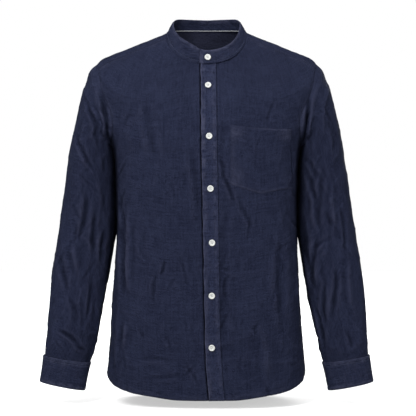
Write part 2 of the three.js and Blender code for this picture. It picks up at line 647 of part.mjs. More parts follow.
// The piping lies inside the collar, along its seam, across the back.
const pipingGrid = [PIPING.rise, PIPING.rise + PIPING.height / COLLAR_HEIGHT].map((rise) => {
  const row = [];
  for (let j = 0; j <= BACK_COLUMNS; j++) {
    const angle = mix(PIPING.fromAngle, 180 - PIPING.fromAngle, j / BACK_COLUMNS);
    row.push(collarPlace(angle, rise, -COLLAR_WALL - PIPING.clearance));
  }
  return row;
});
addMesh('neck_piping', clothWall(pipingGrid), MATERIALS.piping);

// The pocket lies on the left front, on the same columns. Its bottom is pointed.
const pocketGrid = POCKET_RISES.map((rise) =>
  POCKET_XS.map((x, j) => {
    const across = (x - POCKET_XS[0]) / (POCKET_XS.at(-1) - POCKET_XS[0]);
    const corner = POCKET.sideUp + POCKET.sideFall * across;
    const bottom = mix(POCKET.pointUp, corner, Math.abs(2 * across - 1));
    const up = mix(bottom, POCKET.topUp + POCKET.topFall * across, rise);
    return bodyPlace(frontColumns(1, up)[2 + j], up, POCKET_LIFT);
  }),
);
addMesh('pocket', clothWall(pocketGrid), MATERIALS.linen);

BUTTON_LINE.forEach(({ up, x }, i) => {
  const seat = bodyPlace(angleAt('front', up, x), up, LIFT);
  addMesh(`button_${i + 2}`, buttonOn(seat), MATERIALS.button);
});

export default shirt;
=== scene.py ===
import itertools
import math

import bpy
import numpy as np
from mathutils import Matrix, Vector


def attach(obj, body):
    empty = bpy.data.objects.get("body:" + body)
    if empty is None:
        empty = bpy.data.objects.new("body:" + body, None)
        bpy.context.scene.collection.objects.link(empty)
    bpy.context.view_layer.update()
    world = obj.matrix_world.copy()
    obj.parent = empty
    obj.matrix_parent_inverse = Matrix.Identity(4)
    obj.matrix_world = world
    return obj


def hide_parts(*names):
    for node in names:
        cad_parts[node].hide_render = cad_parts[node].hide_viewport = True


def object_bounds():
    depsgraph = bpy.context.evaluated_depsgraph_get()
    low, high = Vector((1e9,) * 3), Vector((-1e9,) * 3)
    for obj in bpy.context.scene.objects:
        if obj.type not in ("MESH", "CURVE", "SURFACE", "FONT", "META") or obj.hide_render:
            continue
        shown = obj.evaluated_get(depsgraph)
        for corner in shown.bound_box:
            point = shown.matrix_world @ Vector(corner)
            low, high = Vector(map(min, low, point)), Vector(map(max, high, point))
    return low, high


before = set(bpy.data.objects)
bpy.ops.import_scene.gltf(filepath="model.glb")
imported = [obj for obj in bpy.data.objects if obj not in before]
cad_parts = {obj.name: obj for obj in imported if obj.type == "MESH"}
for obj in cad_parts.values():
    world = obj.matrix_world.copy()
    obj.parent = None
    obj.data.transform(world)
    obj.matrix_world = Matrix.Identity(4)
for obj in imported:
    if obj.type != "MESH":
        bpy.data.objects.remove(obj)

cad_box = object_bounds()

# The shapes are worked out in millimetres, in the frame's own axes, and leave here in metres.
MM = 0.001
CLOTH = 0.7  # the thickness of the linen that shows
WALL = 1.5  # the wall of the solids, which sets how far a piece on a panel stands out
SEAM = 0.3
RIDGE_WEAR_AND_HIGHLIGHT = 0.07  # how fast a ridge turns pale with its height in millimetres, partly rubbed dye and partly painted highlight
TROUGH_PAINTED_SHADE = 0.12  # how fast painted shade darkens a trough
FOLD_RIDGE_WEAR_AND_HIGHLIGHT = 0.02  # the same for the creases: paler ridges, partly rubbed dye and partly painted highlight
# How fast painted shade darkens the creases' troughs
FOLD_PAINTED_SHADE = 0.05
LIFT = WALL + SEAM


def table(columns, *rows):
    """Rows of numbers as one array for each named column."""
    return dict(zip(columns.split(), np.array(rows, float).T))


BODY_RINGS = table(
    "up side_x side_z front_y front_z back_y back_z square",
    (0, 203, -694, -118, -744, 122, -758, 2.8),
    (59, 200, -640, -119, -680, 122, -690, 2.9),
    (169, 193, -540, -119, -560, 120, -565, 3.0),
    (290, 186, -425, -120, -432, 120, -435, 3.0),
    (396, 185, -320, -122, -325, 127, -325, 3.1),
    (475, 190, -237, -122, -250, 132, -235, 3.0),
    (543, 212, -150, -116, -205, 132, -165, 2.6),
    (610, 226, -62, -104, -160, 122, -105, 2.4),
    (668, 160, -31, -84, -115, 92, -50, 2.3),
    (711, 108, -10.5, -68, -86, 66, -12, 2.2),
    (734, 82, 0, -58, -69, 50, 8, 2.1),
)
NECK_UP = 734
UNDERARM_UP = 475
SHOULDER_UP = 612
FRONT_SEAM_ANGLE = -9
ARMHOLE_FRONT = 29
ARMHOLE_BACK = 28
CHART_RADIUS = 175  # turns an angle round the body into a length of cloth

SLEEVE_RINGS = table(
    "along out_x out_z in_x in_z front back mid_y",
    (0, 222, -58, 190.5, -236, 60, 61, 4),
    (0.04, 243, -86, 192, -239, 66, 64, 5),
    (0.13, 262, -143, 192, -248, 67, 65, 7),
    (0.21, 276, -205, 191, -264, 66, 65, 9),
    (0.31, 287, -270, 190.5, -300, 64, 64, 11),
    (0.42, 298, -345, 190, -360, 57, 56, 11),
    (0.54, 309, -420, 190.5, -428, 51, 50, 7),
    (0.7, 321, -510, 206, -520, 46, 45, -3),
    (0.84, 326.6, -589, 220, -602, 42, 42, -13),
    (0.95, 329.3, -643, 234.4, -659, 36, 36, -20),
    (1, 330.9, -664.8, 240.7, -679.6, 31, 31, -22),
)
SLEEVE_SQUARE = 2.2
SLEEVE_START = 0.1
TORSO_SIDE = {"z": BODY_RINGS["side_z"][2:7], "x": BODY_RINGS["side_x"][2:7]}
LEAN = 3  # how deeply the sleeve presses into the torso's side
SLOT = 4
TUCK = {"inset": -1.6, "depth": -0.9}  # the sleeve's first row under the edge of the body's cloth

CUFF_RINGS = table(
    "along out_x out_z in_x in_z front back mid_y",
    (0, 341.6, -715.2, 248.4, -733.6, 32, 32, -25),
    (0.5, 337.8, -689.4, 243, -705.2, 33, 33, -24),
    (1, 334.3, -661.3, 236.8, -676.7, 34.3, 34.8, -22),
)
CUFF_LAP = (60, 108)
CUFF_OVER = 2.6

COLLAR_RINGS = table(
    "up side_x side_z front_y front_z back_y back_z",
    (0, 82, 1.3, -58, -67.7, 50, 9.3),
    (0.5, 77, 12.5, -54.5, -54.5, 46.5, 20),
    (1, 70, 24, -50, -41, 42, 31),
)
COLLAR_SQUARE = 2.1
# How far the collar's top edge was pulled up out of its even line while it was worn
COLLAR_PULL = table(
    "angle up",
    (-180, 1), (-152, 6), (-129, 9.5), (-113, 7.5), (-99, 2), (-90, 0), (0, 0.5), (28, 4), (60, 2.5), (90, 1),
    (120, 2.5), (152, 4), (180, 1), (208, 6), (231, 9.5), (247, 7.5), (261, 2), (270, 0), (300, 0),
)
COLLAR_HANG = 0.07  # how far the collar reaches down over the body's edge, as a share of its height
COLLAR_OVER_END = -14
COLLAR_UNDER_END = 16
COLLAR_OVER = 2.5

PLACKET_WIDTH = 31
PLACKET_SEAM_X = 15.5
PLACKET_BELOW_COLLAR = 2.5
PLACKET_LINE = table(
    "up left", (0, 5), (59, -0.5), (125, -3.2), (300, -6.7), (465, -9.8), (640, -11.2), (734, -12)
)
POCKET = {"left": 47, "right": 172, "top_up": 556, "top_fall": -29, "side_up": 408, "side_fall": -11, "point_up": 388}
POCKET_HEIGHT = 140
POCKET_HEM = 32
POCKET_LIFT = 0.65
POCKET_WEAR_AND_HIGHLIGHT = table(  # where the dye is rubbed off, and along the bottom edge a painted highlight, as shares of the pocket
    "across rise wide tall strength",
    (0.09, 0.88, 0.13, 0.17, 0.27),
    (0.91, 0.9, 0.12, 0.12, 0.27),
    (0.08, 0.12, 0.12, 0.16, 0.25),
    (0.04, 0.5, 0.035, 0.45, 0.13),
    (0.72, 0.99, 0.35, 0.018, 0.35),
    # A painted highlight along the bottom edge, to lighten its shadow
    (0.5, 0.0, 0.9, 0.028, 0.34),
)
SLIT = {"turn": 96, "half_width": 11, "start": 0.79, "end": 0.975}
SLEEVE_RADIUS = 55
YOKE_TURN = 60
SEAM_RISE = 25
RISE_ABOVE = 12
RISE_FALLS = 2.2

BUTTON_LINE = ((667, 3.2), (521, 5.2), (398.6, 7.8), (292, 10.9), (192, 10.4), (97, 10.4))
COLLAR_BUTTON_X = 2.4

# Creases as seen from the front or back: a line from one place to another in x and z, its width
# and depth, and how far it bows. A negative depth is a trough and a positive one a ridge.
CREASE_COLUMNS = "x0 z0 x1 z1 width depth bow"
BODY_FRONT_CREASES = table(
    CREASE_COLUMNS,
    (-172, -332, -168, -399, 7, -3.5, 3),
    (-173, -410, -171, -534, 8, -4, -4),
    (-154, -366, -156, -534, 9, 3, 4),
    (-185, -534, -190, -691, 7, -3.5, 4),
    (-163, -590, -171, -646, 7, 2.5, -2),
    (-101, -489, -104, -556, 5, -2.2, 3),
    (-84, -466, -90, -500, 5, -1.3, 2),
    (-140, -663, -62, -668, 5, -1.2, -3),
    (-118, -702, -51, -691, 6, -1.1, 3),
    (-51, -696, -17, -668, 5, -0.9, 3),
    (-34, -242, -14, -399, 12, -2.2, -5),
    (132, -150, 121, -196, 5, -0.9, 2),
    (29, -262, 32, -308, 6, -2, -2),
    (32, -296, 56, -352, 6, -2.6, -3),
    (38, -180, 30, -290, 12, -1.4, 3),
    (65, -338, 93, -405, 7, -1.6, 4),
    (28, -480, 54, -486, 4, -1.5, 2),
    (37, -497, 51, -497, 4, -1.2, 1),
    (42, -321, 37, -674, 12, -2, 6),
    (171, -388, 197, -405, 6, -2.5, 2),
    (187, -430, 191, -560, 8, -3, -3),
    (150, -430, 160, -610, 14, -2.5, 8),
    (-120, -150, -100, -260, 14, -1.8, 5),
    (110, -600, 118, -715, 18, 2.2, -5),
    (207, -150, 197, -240, 6, -5, 0),
    (-210, -150, -197, -240, 6, -5, 0),
)
BODY_BACK_CREASES = table(
    CREASE_COLUMNS,
    (-170, -300, -120, -380, 9, -4, 6),
    (-176, -420, -150, -560, 10, -4.5, -7),
    (165, -290, 110, -360, 9, -4, -6),
    (172, -400, 158, -590, 10, -4.5, 8),
    (-60, -330, -20, -470, 14, 3, 7),
    (55, -350, 30, -500, 13, -3, -6),
    (-110, -560, -130, -690, 12, 3, 5),
    (90, -540, 112, -700, 12, -3.5, -5),
    (-95, -200, -60, -290, 10, -2.5, 4),
    (100, -190, 70, -270, 10, -2.5, -5),
    (0, -560, -14, -720, 16, -2.5, 4),
    (-150, -110, -95, -150, 7, -2, 3),
    (150, -105, 100, -140, 7, -2, -3),
    (-186, -560, -178, -670, 8, -4, 3),
    (184, -540, 190, -660, 8, -4, -3),
)
SLEEVE_FRONT_CREASES = {
    "left": table(
        CREASE_COLUMNS,
        (206, -146, 195, -240, 6, -6.5, 0),
        (227, -113, 211, -164, 7, 2.5, 3),
        (211, -158, 194, -214, 7, -4, 3),
        (202, -287, 227, -399, 8, -4.5, -5),
        (233, -293, 233, -422, 8, -4, 4),
        (199, -382, 222, -523, 8, -7, 5),
        (275, -360, 283, -450, 6, -4, -3),
        (225, -422, 216, -534, 7, -5, 3),
        (250, -332, 267, -399, 9, 4, 3),
        (261, -478, 255, -584, 7, -4.5, -4),
        (241, -511, 244, -607, 6, -4.5, 4),
        (225, -562, 239, -646, 6, -4, -3),
        (289, -466, 300, -590, 8, 3, 3),
        (246, -140, 258, -215, 9, -2, 4),
        (282, -600, 292, -650, 6, -2.5, -3),
    ),
    "right": table(
        CREASE_COLUMNS,
        (-209, -146, -195, -240, 6, -6.5, 0),
        (-213, -108, -197, -186, 8, -4, 3),
        (-250, -136, -216, -242, 7, -3.5, -4),
        (-269, -209, -230, -287, 7, -3.5, 3),
        (-244, -332, -258, -422, 7, -4.5, -4),
        (-225, -366, -230, -455, 6, -4.5, 3),
        (-208, -399, -213, -478, 7, -4.5, 3),
        (-300, -450, -281, -534, 8, -3.5, 4),
        (-303, -607, -253, -646, 6, -4, -5),
        (-269, -635, -247, -651, 5, -3, 2),
        (-270, -427, -258, -500, 9, 3, 4),
        (-235, -500, -246, -590, 6, -3.5, -3),
        (-278, -540, -266, -600, 8, -2.5, -3),
    ),
}
SLEEVE_BACK_CREASES = {
    "left": table(
        CREASE_COLUMNS,
        (222, -240, 262, -330, 8, -5, 6),
        (270, -330, 225, -400, 8, -6, -7),
        (232, -420, 280, -470, 7, -5, 5),
        (285, -480, 262, -580, 7, -4, -4),
        (240, -520, 252, -610, 7, 4, 4),
        (250, -130, 262, -220, 8, -3, 4),
        (300, -560, 292, -640, 6, -3, 3),
    ),
    "right": table(
        CREASE_COLUMNS,
        (-218, -230, -256, -300, 8, -5, -5),
        (-276, -320, -230, -410, 8, -6, 7),
        (-226, -440, -272, -500, 7, -5, -5),
        (-290, -470, -270, -570, 7, -4, 4),
        (-244, -540, -262, -630, 7, 4, -4),
        (-252, -120, -260, -205, 8, -3, -3),
    ),
}


NARROW = 0.62


def fine_creases(seed, count, place, leaning, longest, depth):
    """Many faint short creases, denser towards the places given, as rows like those above."""
    chance = np.random.default_rng(seed)
    x, z = place(chance, count)
    turn = np.radians(leaning + chance.normal(0, 24, count))
    length = chance.uniform(0.35, 1, count) * longest
    end_x, end_z = x + np.sin(turn) * length, z - np.cos(turn) * length
    width, height = chance.uniform(3.5, 7, count), chance.uniform(-1, 0.45, count) * depth
    return dict(zip(CREASE_COLUMNS.split(), (x, z, end_x, end_z, width, height, chance.normal(0, 3, count))))


def softened(rows):
    return {**rows, "width": rows["width"] * 1.25, "depth": rows["depth"] * 0.6}


def joined(*tables):
    return {column: np.concatenate([rows[column] for rows in tables]) for column in tables[0]}


def body_places(chance, count):
    """Places on the front or back, most of them towards the sides and the hem."""
    edge = chance.choice((-1, 1), count) * (1 - chance.uniform(0, 1, count) ** 1.7)
    return edge * 185, -120 - 600 * chance.uniform(0, 1, count) ** 0.8


def arm_places(sign):
    def place(chance, count):
        down = chance.uniform(0.04, 0.9, count)
        middle = np.interp(down, (0, 0.3, 0.6, 1), (212, 238, 258, 290))
        half = np.interp(down, (0, 0.3, 0.6, 1), (24, 42, 44, 40))
        return sign * (middle + half * chance.uniform(-1, 1, count)), -100 - 570 * down

    return place


BODY_FRONT_CREASES = joined(BODY_FRONT_CREASES, fine_creases(5, 90, body_places, 3, 75, 1.3))
BODY_BACK_CREASES = joined(softened(BODY_BACK_CREASES), fine_creases(6, 90, body_places, -4, 85, 1.6))
for side, sign in (("left", 1), ("right", -1)):
    for seed, creases in ((7, SLEEVE_FRONT_CREASES), (9, SLEEVE_BACK_CREASES)):
        fine = fine_creases(seed + sign, 75, arm_places(sign), 9 * sign, 90, 1.6)
        placed = softened(creases[side]) if creases is SLEEVE_BACK_CREASES else creases[side]
        creases[side] = joined(placed, fine)


# Curves and noise

def smooth(value):
    t = np.clip(value, 0, 1)
    return t * t * (3 - 2 * t)


def mix(a, b, t):
    return a + (b - a) * t


def read(rows, key, at):
    """Every column of a table at places of its key column, on a smooth curve."""
    keys = rows[key]
    at = np.asarray(at, float)
    i = np.clip(np.searchsorted(keys, at, side="right") - 1, 0, len(keys) - 2)
    step = keys[i + 1] - keys[i]
    t = (at - keys[i]) / step
    before, after = np.maximum(np.arange(len(keys)) - 1, 0), np.minimum(np.arange(len(keys)) + 1, len(keys) - 1)
    found = {}
    for column, values in rows.items():
        slope = (values[after] - values[before]) / (keys[after] - keys[before])
        found[column] = (
            values[i] * (1 + 2 * t) * (1 - t) ** 2
            + values[i + 1] * t * t * (3 - 2 * t)
            + slope[i] * step * t * (1 - t) ** 2
            - slope[i + 1] * step * t * t * (1 - t)
        )
    return found


def noise(points, size, seed):
    """Smooth value noise from -1 to 1, with one lattice cell every size millimetres."""
    scaled = points / size + seed * 17.31
    cell = np.floor(scaled).astype(np.int64)
    f = scaled - cell
    f = f * f * f * (f * (f * 6 - 15) + 10)
    total = np.zeros(points.shape[:-1])
    for corner in itertools.product((0, 1), repeat=3):
        c = cell + corner
        mixed = (c[..., 0] * 374761393 + c[..., 1] * 668265263 + c[..., 2] * 2147483647 + seed * 96557) & 0xFFFFFFFF
        mixed = ((mixed ^ (mixed >> 13)) * 1274126177) & 0xFFFFFFFF
        value = ((mixed ^ (mixed >> 16)) & 0xFFFF) / 32767.5 - 1
        weight = np.prod(np.where(corner, f, 1 - f), axis=-1)
        total += value * weight
    return total


def crumple(points, size, seed):
    """A net of little ridges, as in cloth that was washed and dried in a heap."""
    warp = np.stack([noise(points, size * 1.6, seed + k) for k in (1, 2, 3)], -1)
    bent = points + warp * size * 0.8
    return 0.55 - np.sqrt(np.abs(noise(bent, size, seed)) + 0.003)


def crease_height(points, rows):
    """The summed height of a table's creases, by distance in the plane seen from the front."""
    wobble = 3.0 * noise(points, 32, 61) + 0.9 * noise(points, 12, 67)
    x, z = points[..., 0] + wobble, points[..., 2] + 0.6 * wobble
    height = np.zeros(x.shape)
    for x0, z0, x1, z1, width, depth, bow in zip(*rows.values()):
        run = np.array([x1 - x0, z1 - z0])
        length = np.hypot(*run)
        t = ((x - x0) * run[0] + (z - z0) * run[1]) / length**2
        away = ((x - x0) * run[1] - (z - z0) * run[0]) / length - bow * 4 * t * (1 - t)
        ends = smooth((t + 0.15) / 0.5) * smooth((1.15 - t) / 0.5)
        away = away / (width * NARROW * (0.6 + 0.4 * ends))
        trough = np.exp(-away * away)
        ridge = np.exp(-((away - 1.7) ** 2)) * 0.5 + np.exp(-((away + 1.9) ** 2)) * 0.25
        height += depth * ends * (trough - ridge)
    return height


def grid_normals(points, turned=1.0):
    """Unit normals of a grid of points, rows by columns."""
    along = np.gradient(points, axis=0)
    across = np.gradient(points, axis=1)
    normal = np.cross(across, along) * turned
    return normal / np.maximum(np.linalg.norm(normal, axis=-1, keepdims=True), 1e-9)


# The body's surface

def ring_point(ring, square, angle):
    cos, sin = np.cos(np.radians(angle)), np.sin(np.radians(angle))
    k = (np.abs(cos) ** square + np.abs(sin) ** square) ** (-1 / square)
    share = k * np.abs(sin)
    y = np.where(sin < 0, ring["front_y"], ring["back_y"])
    z = np.where(sin < 0, ring["front_z"], ring["back_z"])
    return np.stack([ring["side_x"] * k * cos, y * share, mix(ring["side_z"], z, share)], -1)


def plain_body(angle, up):
    ring = read(BODY_RINGS, "up", up)
    return ring_point(ring, ring["square"], angle)


def numeric_normal(point, a, b, step_a, step_b):
    normal = np.cross(point(a + step_a, b) - point(a - step_a, b), point(a, b + step_b) - point(a, b - step_b))
    return normal / np.maximum(np.linalg.norm(normal, axis=-1, keepdims=True), 1e-9)


def facing(normal):
    """Where the cloth turns sideways, creases seen from the front or back fade."""
    return 0.3 + 0.7 * smooth((np.abs(normal[..., 1]) - 0.1) / 0.4)


def body_creases(point, normal):
    front = smooth((0.15 - normal[..., 1]) / 0.3)
    found = crease_height(point, BODY_FRONT_CREASES) * front + crease_height(point, BODY_BACK_CREASES) * (1 - front)
    return found * facing(normal)


def sleeve_creases(side, point, normal):
    front = smooth((0.2 - normal[..., 1]) / 0.4)
    found = crease_height(point, SLEEVE_FRONT_CREASES[side]) * front
    found = found + crease_height(point, SLEEVE_BACK_CREASES[side]) * (1 - front)
    return found * facing(normal)


def body(angle, up, lift=0.0):
    """Places on the body's cloth, with its creases, moved out by lift, and the plain normals."""
    angle, up = np.broadcast_arrays(np.asarray(angle, float), np.asarray(up, float))
    inside = np.clip(up, 1, NECK_UP - 1)
    normal = numeric_normal(plain_body, angle, inside, 0.2, 0.5)
    point = plain_body(angle, up)
    quiet = 1 - 0.75 * smooth((up - 560) / 120)  # the shoulders are pulled smoother than the rest
    height = 1.7 * body_creases(point, normal)
    height = height + quiet * (3.2 * noise(point, 110, 3) + 2.6 * crumple(point, 52, 11) + 1.3 * crumple(point, 24, 23))
    height = height + (0.4 + 0.6 * quiet) * 0.7 * crumple(point, 12, 37) + 0.25 * noise(point, 7, 5)
    # The shoulder's end hangs a little inside the even curve.
    height = height - 3 * np.exp(-(((up - 630) / 22) ** 2)) * smooth((np.abs(np.cos(np.radians(angle))) - 0.5) / 0.4)
    point = point + normal * (height + lift)[..., None]
    point[..., 2] += 3.8 * smooth((np.abs(point[..., 0]) - 55) / 70) * smooth((40 - up) / 40)
    return point, normal


def angle_at(face, up, x):
    """The angle at which the body's ring has a given x, on the front or the back."""
    ring = read(BODY_RINGS, "up", up)
    c = np.clip(np.abs(x) / ring["side_x"], 0, 0.9999)
    s = (1 - c ** ring["square"]) ** (1 / ring["square"])
    angle = np.degrees(np.arctan2(s, c))
    turned = np.where(np.asarray(x) < 0, 180 - angle, angle)
    return -turned if face == "front" else turned


def armhole(turn, inset=0.0):
    middle, half = (UNDERARM_UP + SHOULDER_UP) / 2, (SHOULDER_UP - UNDERARM_UP) / 2
    cos, sin = np.cos(np.radians(turn)), np.sin(np.radians(turn))
    reach = np.where(sin < 0, ARMHOLE_FRONT, ARMHOLE_BACK)
    inset_angle = inset / (CHART_RADIUS * math.radians(1))
    return FRONT_SEAM_ANGLE * (1 + cos) / 2 + (reach - inset_angle) * sin, middle + (half - inset) * cos


HALF_SEAM = SEAM / 2 / (CHART_RADIUS * math.radians(1))


def front_edge(up):
    """The angle of a front panel's outer edge: side seam, armhole, then yoke seam."""
    up = np.asarray(up, float)
    cos = np.clip((2 * up - UNDERARM_UP - SHOULDER_UP) / (SHOULDER_UP - UNDERARM_UP), -1, 1)
    hole, _ = armhole(-np.degrees(np.arccos(cos)))
    edge = np.where(up <= UNDERARM_UP, 0.0, hole)
    return np.where(up >= SHOULDER_UP, FRONT_SEAM_ANGLE, edge) - HALF_SEAM


def placket_left(up):
    return read(PLACKET_LINE, "up", up)["left"]


# The sleeve's and cuff's surface

def arm_ring_point(ring, turn):
    cos, sin = np.cos(np.radians(turn)), np.sin(np.radians(turn))
    k = (np.abs(cos) ** SLEEVE_SQUARE + np.abs(sin) ** SLEEVE_SQUARE) ** (-1 / SLEEVE_SQUARE)
    share = (1 + k * cos) / 2
    depth = np.where(sin < 0, ring["front"], ring["back"])
    return np.stack(
        [mix(ring["in_x"], ring["out_x"], share), ring["mid_y"] + depth * k * sin, mix(ring["in_z"], ring["out_z"], share)],
        -1,
    )


def plain_sleeve(turn, along):
    turn, along = np.broadcast_arrays(np.asarray(turn, float), np.asarray(along, float))
    ring = read(SLEEVE_RINGS, "along", along)
    point = arm_ring_point(ring, turn)
    start = arm_ring_point(read(SLEEVE_RINGS, "along", np.zeros(along.shape)), turn)
    angle, up = armhole(turn, 0.6)
    seam = plain_body(angle, up)
    point = point + (seam - start) * (1 - smooth(along / SLEEVE_START))[..., None]
    # Down to the elbow the inner side leans on the torso, whose side is a ring's place at its height.
    torso = read(TORSO_SIDE, "z", np.clip(point[..., 2], TORSO_SIDE["z"][0], TORSO_SIDE["z"][-1]))["x"]
    inner = np.mod(turn, 360) - 180  # degrees from the innermost line, positive to the front
    leaning = smooth(along / 0.03) * (1 - smooth((along - 0.44) / 0.12))
    touch = smooth((95 - np.abs(inner)) / 70) * (ring["in_x"] - torso + LEAN)
    # It touches behind the middle, and a deep narrow slot stays open in front.
    slot = np.sin(np.radians(np.clip(inner, -100, 100) * 1.8)) * SLOT
    point[..., 0] -= leaning * (touch - slot)
    return point


def ring_centre(ring):
    return np.stack([(ring["in_x"] + ring["out_x"]) / 2, ring["mid_y"], (ring["in_z"] + ring["out_z"]) / 2], -1)


def outward(normal, point, centre):
    """The normals, turned to point away from a centre."""
    sign = np.sign(np.sum(normal * (point - centre), -1, keepdims=True))
    return normal * np.where(sign == 0, 1, sign)


def sleeve(side, turn, along, lift=0.0):
    """Places on a sleeve's cloth, with its creases, moved out by lift, and the plain normals."""
    turn, along = np.broadcast_arrays(np.asarray(turn, float), np.asarray(along, float))
    point = plain_sleeve(turn, along)
    normal = numeric_normal(plain_sleeve, turn, np.clip(along, 0.002, 0.998), 1, 0.002)
    normal = outward(normal, point, ring_centre(read(SLEEVE_RINGS, "along", along)))
    flip = np.array([1 if side == "left" else -1, 1, 1])
    point, normal = point * flip, normal * flip
    height = 1.2 * sleeve_creases(side, point, normal)
    stretched = point * np.array([1, 1, 0.55])  # the small creases run down the arm
    start = smooth(along / 0.05)
    height = height + start * (
        3.0 * noise(stretched, 60, 7) + 3.6 * crumple(stretched, 38, 31) + 2.0 * crumple(stretched, 18, 43)
    )
    gathers = smooth((along - 0.9) / 0.07)
    height = height + gathers * 1.3 * np.sin(np.radians(turn) * 13 + 2.5 * noise(point, 40, 9))
    height = height + 0.8 * crumple(point, 12, 41)
    height = height * (1 - smooth((along - 0.94) / 0.03) * 0.75)
    # Above the cuff the cloth swells out to the cuff's width before it is gathered in.
    height = height + 1.6 * smooth((along - 0.88) / 0.07) * (1 - 0.3 * smooth((along - 0.98) / 0.02))
    if side == "right":  # this sleeve hangs slimmer at the upper arm and over the elbow
        slimmer = 3.8 * np.exp(-(((along - 0.2) / 0.075) ** 2)) + 2.6 * np.exp(-(((along - 0.56) / 0.1) ** 2))
        height = height - slimmer * smooth((np.cos(np.radians(turn)) - 0.1) / 0.6)
    # Its outer side hangs straighter, below a head that is full over the seam.
    outer = smooth((np.cos(np.radians(turn)) - 0.3) / 0.5)
    height = height * (1 - 0.4 * outer) + 3 * outer * np.exp(-(((along - 0.018) / 0.015) ** 2))
    # Where the sleeve hangs next to the side, its cloth is pressed flat.
    near = smooth((np.abs(turn) - 120) / 30) * (1 - smooth((along - 0.6) / 0.15))
    height = height * (1 - 0.8 * near)
    point = point + normal * (height + lift)[..., None]
    angle, up = armhole(turn, TUCK["inset"])
    under, _ = body(angle if side == "left" else 180 - angle, up, TUCK["depth"])
    tucked = (1 - smooth(along / 0.012))[..., None]
    return point + (under - point) * tucked, normal


def cuff(turn, rise, lift=0.0):
    turn, rise = np.broadcast_arrays(np.asarray(turn, float), np.asarray(rise, float))
    ring = read(CUFF_RINGS, "along", rise)
    point = arm_ring_point(ring, turn)

    def at(t, r):
        return arm_ring_point(read(CUFF_RINGS, "along", r), t)

    normal = outward(numeric_normal(at, turn, np.clip(rise, 0.01, 0.99), 1, 0.01), point, ring_centre(ring))
    height = 0.5 * noise(point, 22, 13) + 0.35 * crumple(point, 12, 17)
    return point + normal * (height + lift)[..., None], normal


def collar(angle, rise, lift=0.0):
    angle, rise = np.broadcast_arrays(np.asarray(angle, float), np.asarray(rise, float))

    def at(a, r):
        return ring_point(read(COLLAR_RINGS, "up", r), COLLAR_SQUARE, a)

    point = at(angle, rise)
    normal = outward(numeric_normal(at, angle, np.clip(rise, 0.01, 0.99), 0.5, 0.01), point, np.array([0, 0, -40.0]))
    height = 0.5 * noise(point, 20, 19) + 0.5 * crumple(point, 11, 29)
    height = height - 2.2 * rise * np.cos(np.radians(angle)) ** 4
    point = point + normal * (height + lift)[..., None]
    point[..., 2] += np.clip(rise, 0, 1) * read(COLLAR_PULL, "angle", np.clip(angle, -180, 300))["up"]
    return point, normal


# Meshes

pieces = []


def finish_piece(mesh_object, material, slot, *nodes):
    mesh_object.data.materials.append(material)
    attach(mesh_object, "root")
    if nodes:
        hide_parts(*nodes)
    pieces.append(mesh_object)
    return mesh_object


def new_mesh(name, points, faces, uv=None, **attributes):
    mesh = bpy.data.meshes.new(name)
    mesh.from_pydata((np.asarray(points) * MM).tolist(), [], [tuple(map(int, face)) for face in faces])
    mesh.update()
    corners = np.empty(len(mesh.loops), np.int32)
    mesh.loops.foreach_get("vertex_index", corners)
    if uv is not None:
        layer = mesh.uv_layers.new(name="UVMap")
        layer.data.foreach_set("uv", (np.asarray(uv) * MM)[corners].ravel().astype(np.float32))
    for attribute, values in attributes.items():
        mesh.attributes.new(attribute, "FLOAT", "POINT").data.foreach_set("value", np.asarray(values, np.float32))
    mesh.polygons.foreach_set("use_smooth", np.ones(len(mesh.polygons), bool))
    mesh_object = bpy.data.objects.new(name, mesh)
    bpy.context.collection.objects.link(mesh_object)
    return mesh_object


def lengths(points, axis):
    """Length of cloth from the grid's first line to each point, along an axis."""
    steps = np.linalg.norm(np.diff(points, axis=axis), axis=-1)
    zero = np.zeros_like(np.take(steps, [0], axis=axis))
    return np.concatenate([zero, np.cumsum(steps, axis=axis)], axis=axis)


def edge_distances(points):
    """How far each point of a grid lies from its four edges: bottom, top, left and right."""
    up, across = lengths(points, 0), lengths(points, 1)
    return {"bottom": up, "top": up[-1:] - up, "left": across, "right": across[:, -1:] - across}


def rolled(
    points, edges, seed, turned=1.0, depth=0.7, reach=1.6, pucker=0.8, allowance=6.0, fade=0.45, flat=(), groove=0.45
):
    """The grid with each named edge turned in, its seam allowance raised and puckered."""
    normal = grid_normals(points, turned)
    height = np.zeros(points.shape[:2])
    wear = np.zeros(points.shape[:2])
    distances = edge_distances(points)
    shallow = depth
    for k, edge in enumerate(edges):
        depth = 0.15 if edge in flat else shallow
        away = distances[edge]
        band = smooth((allowance + 1.5 - away) / 2.5)
        along = noise(points, 9, seed + k) + 0.6 * noise(points, 4.5, seed + k + 50)
        height += 0.35 * band - depth * np.exp(-((away / reach) ** 2))
        height += pucker * along * np.exp(-(((away - allowance) / 5) ** 2)) * 0.6
        height -= groove * np.exp(-(((away - allowance) / 0.9) ** 2))
        if edge in flat:
            continue
        wear = np.maximum(wear, np.exp(-((away / 2.2) ** 2)) * (0.75 + 0.5 * along))
        wear = np.maximum(wear, 0.45 * np.exp(-(((away - allowance) / 3) ** 2)) * (0.6 + along))
    return points + normal * height[..., None], np.clip(wear * fade, 0, 1)


def relief(points, normal, reach):
    """How far the cloth around each point stands above it: above zero in troughs, below on ridges."""
    padded = np.pad(points, ((reach, reach), (reach, reach), (0, 0)), mode="reflect", reflect_type="odd")
    rows, columns = points.shape[:2]
    around = sum(
        padded[reach + a : reach + a + rows, reach + b : reach + b + columns]
        for a, b in ((reach, 0), (-reach, 0), (0, reach), (0, -reach))
    )
    hollow = np.sum((around / 4 - points) * normal, -1)
    return hollow - np.median(hollow)


def speckle(points, seed, strength):
    """Small pale specks, where the nap of the linen has worn off."""
    return strength * np.clip(0.2 + 0.8 * noise(points, 5, seed) + 0.7 * noise(points, 8, seed + 1), 0, 1)


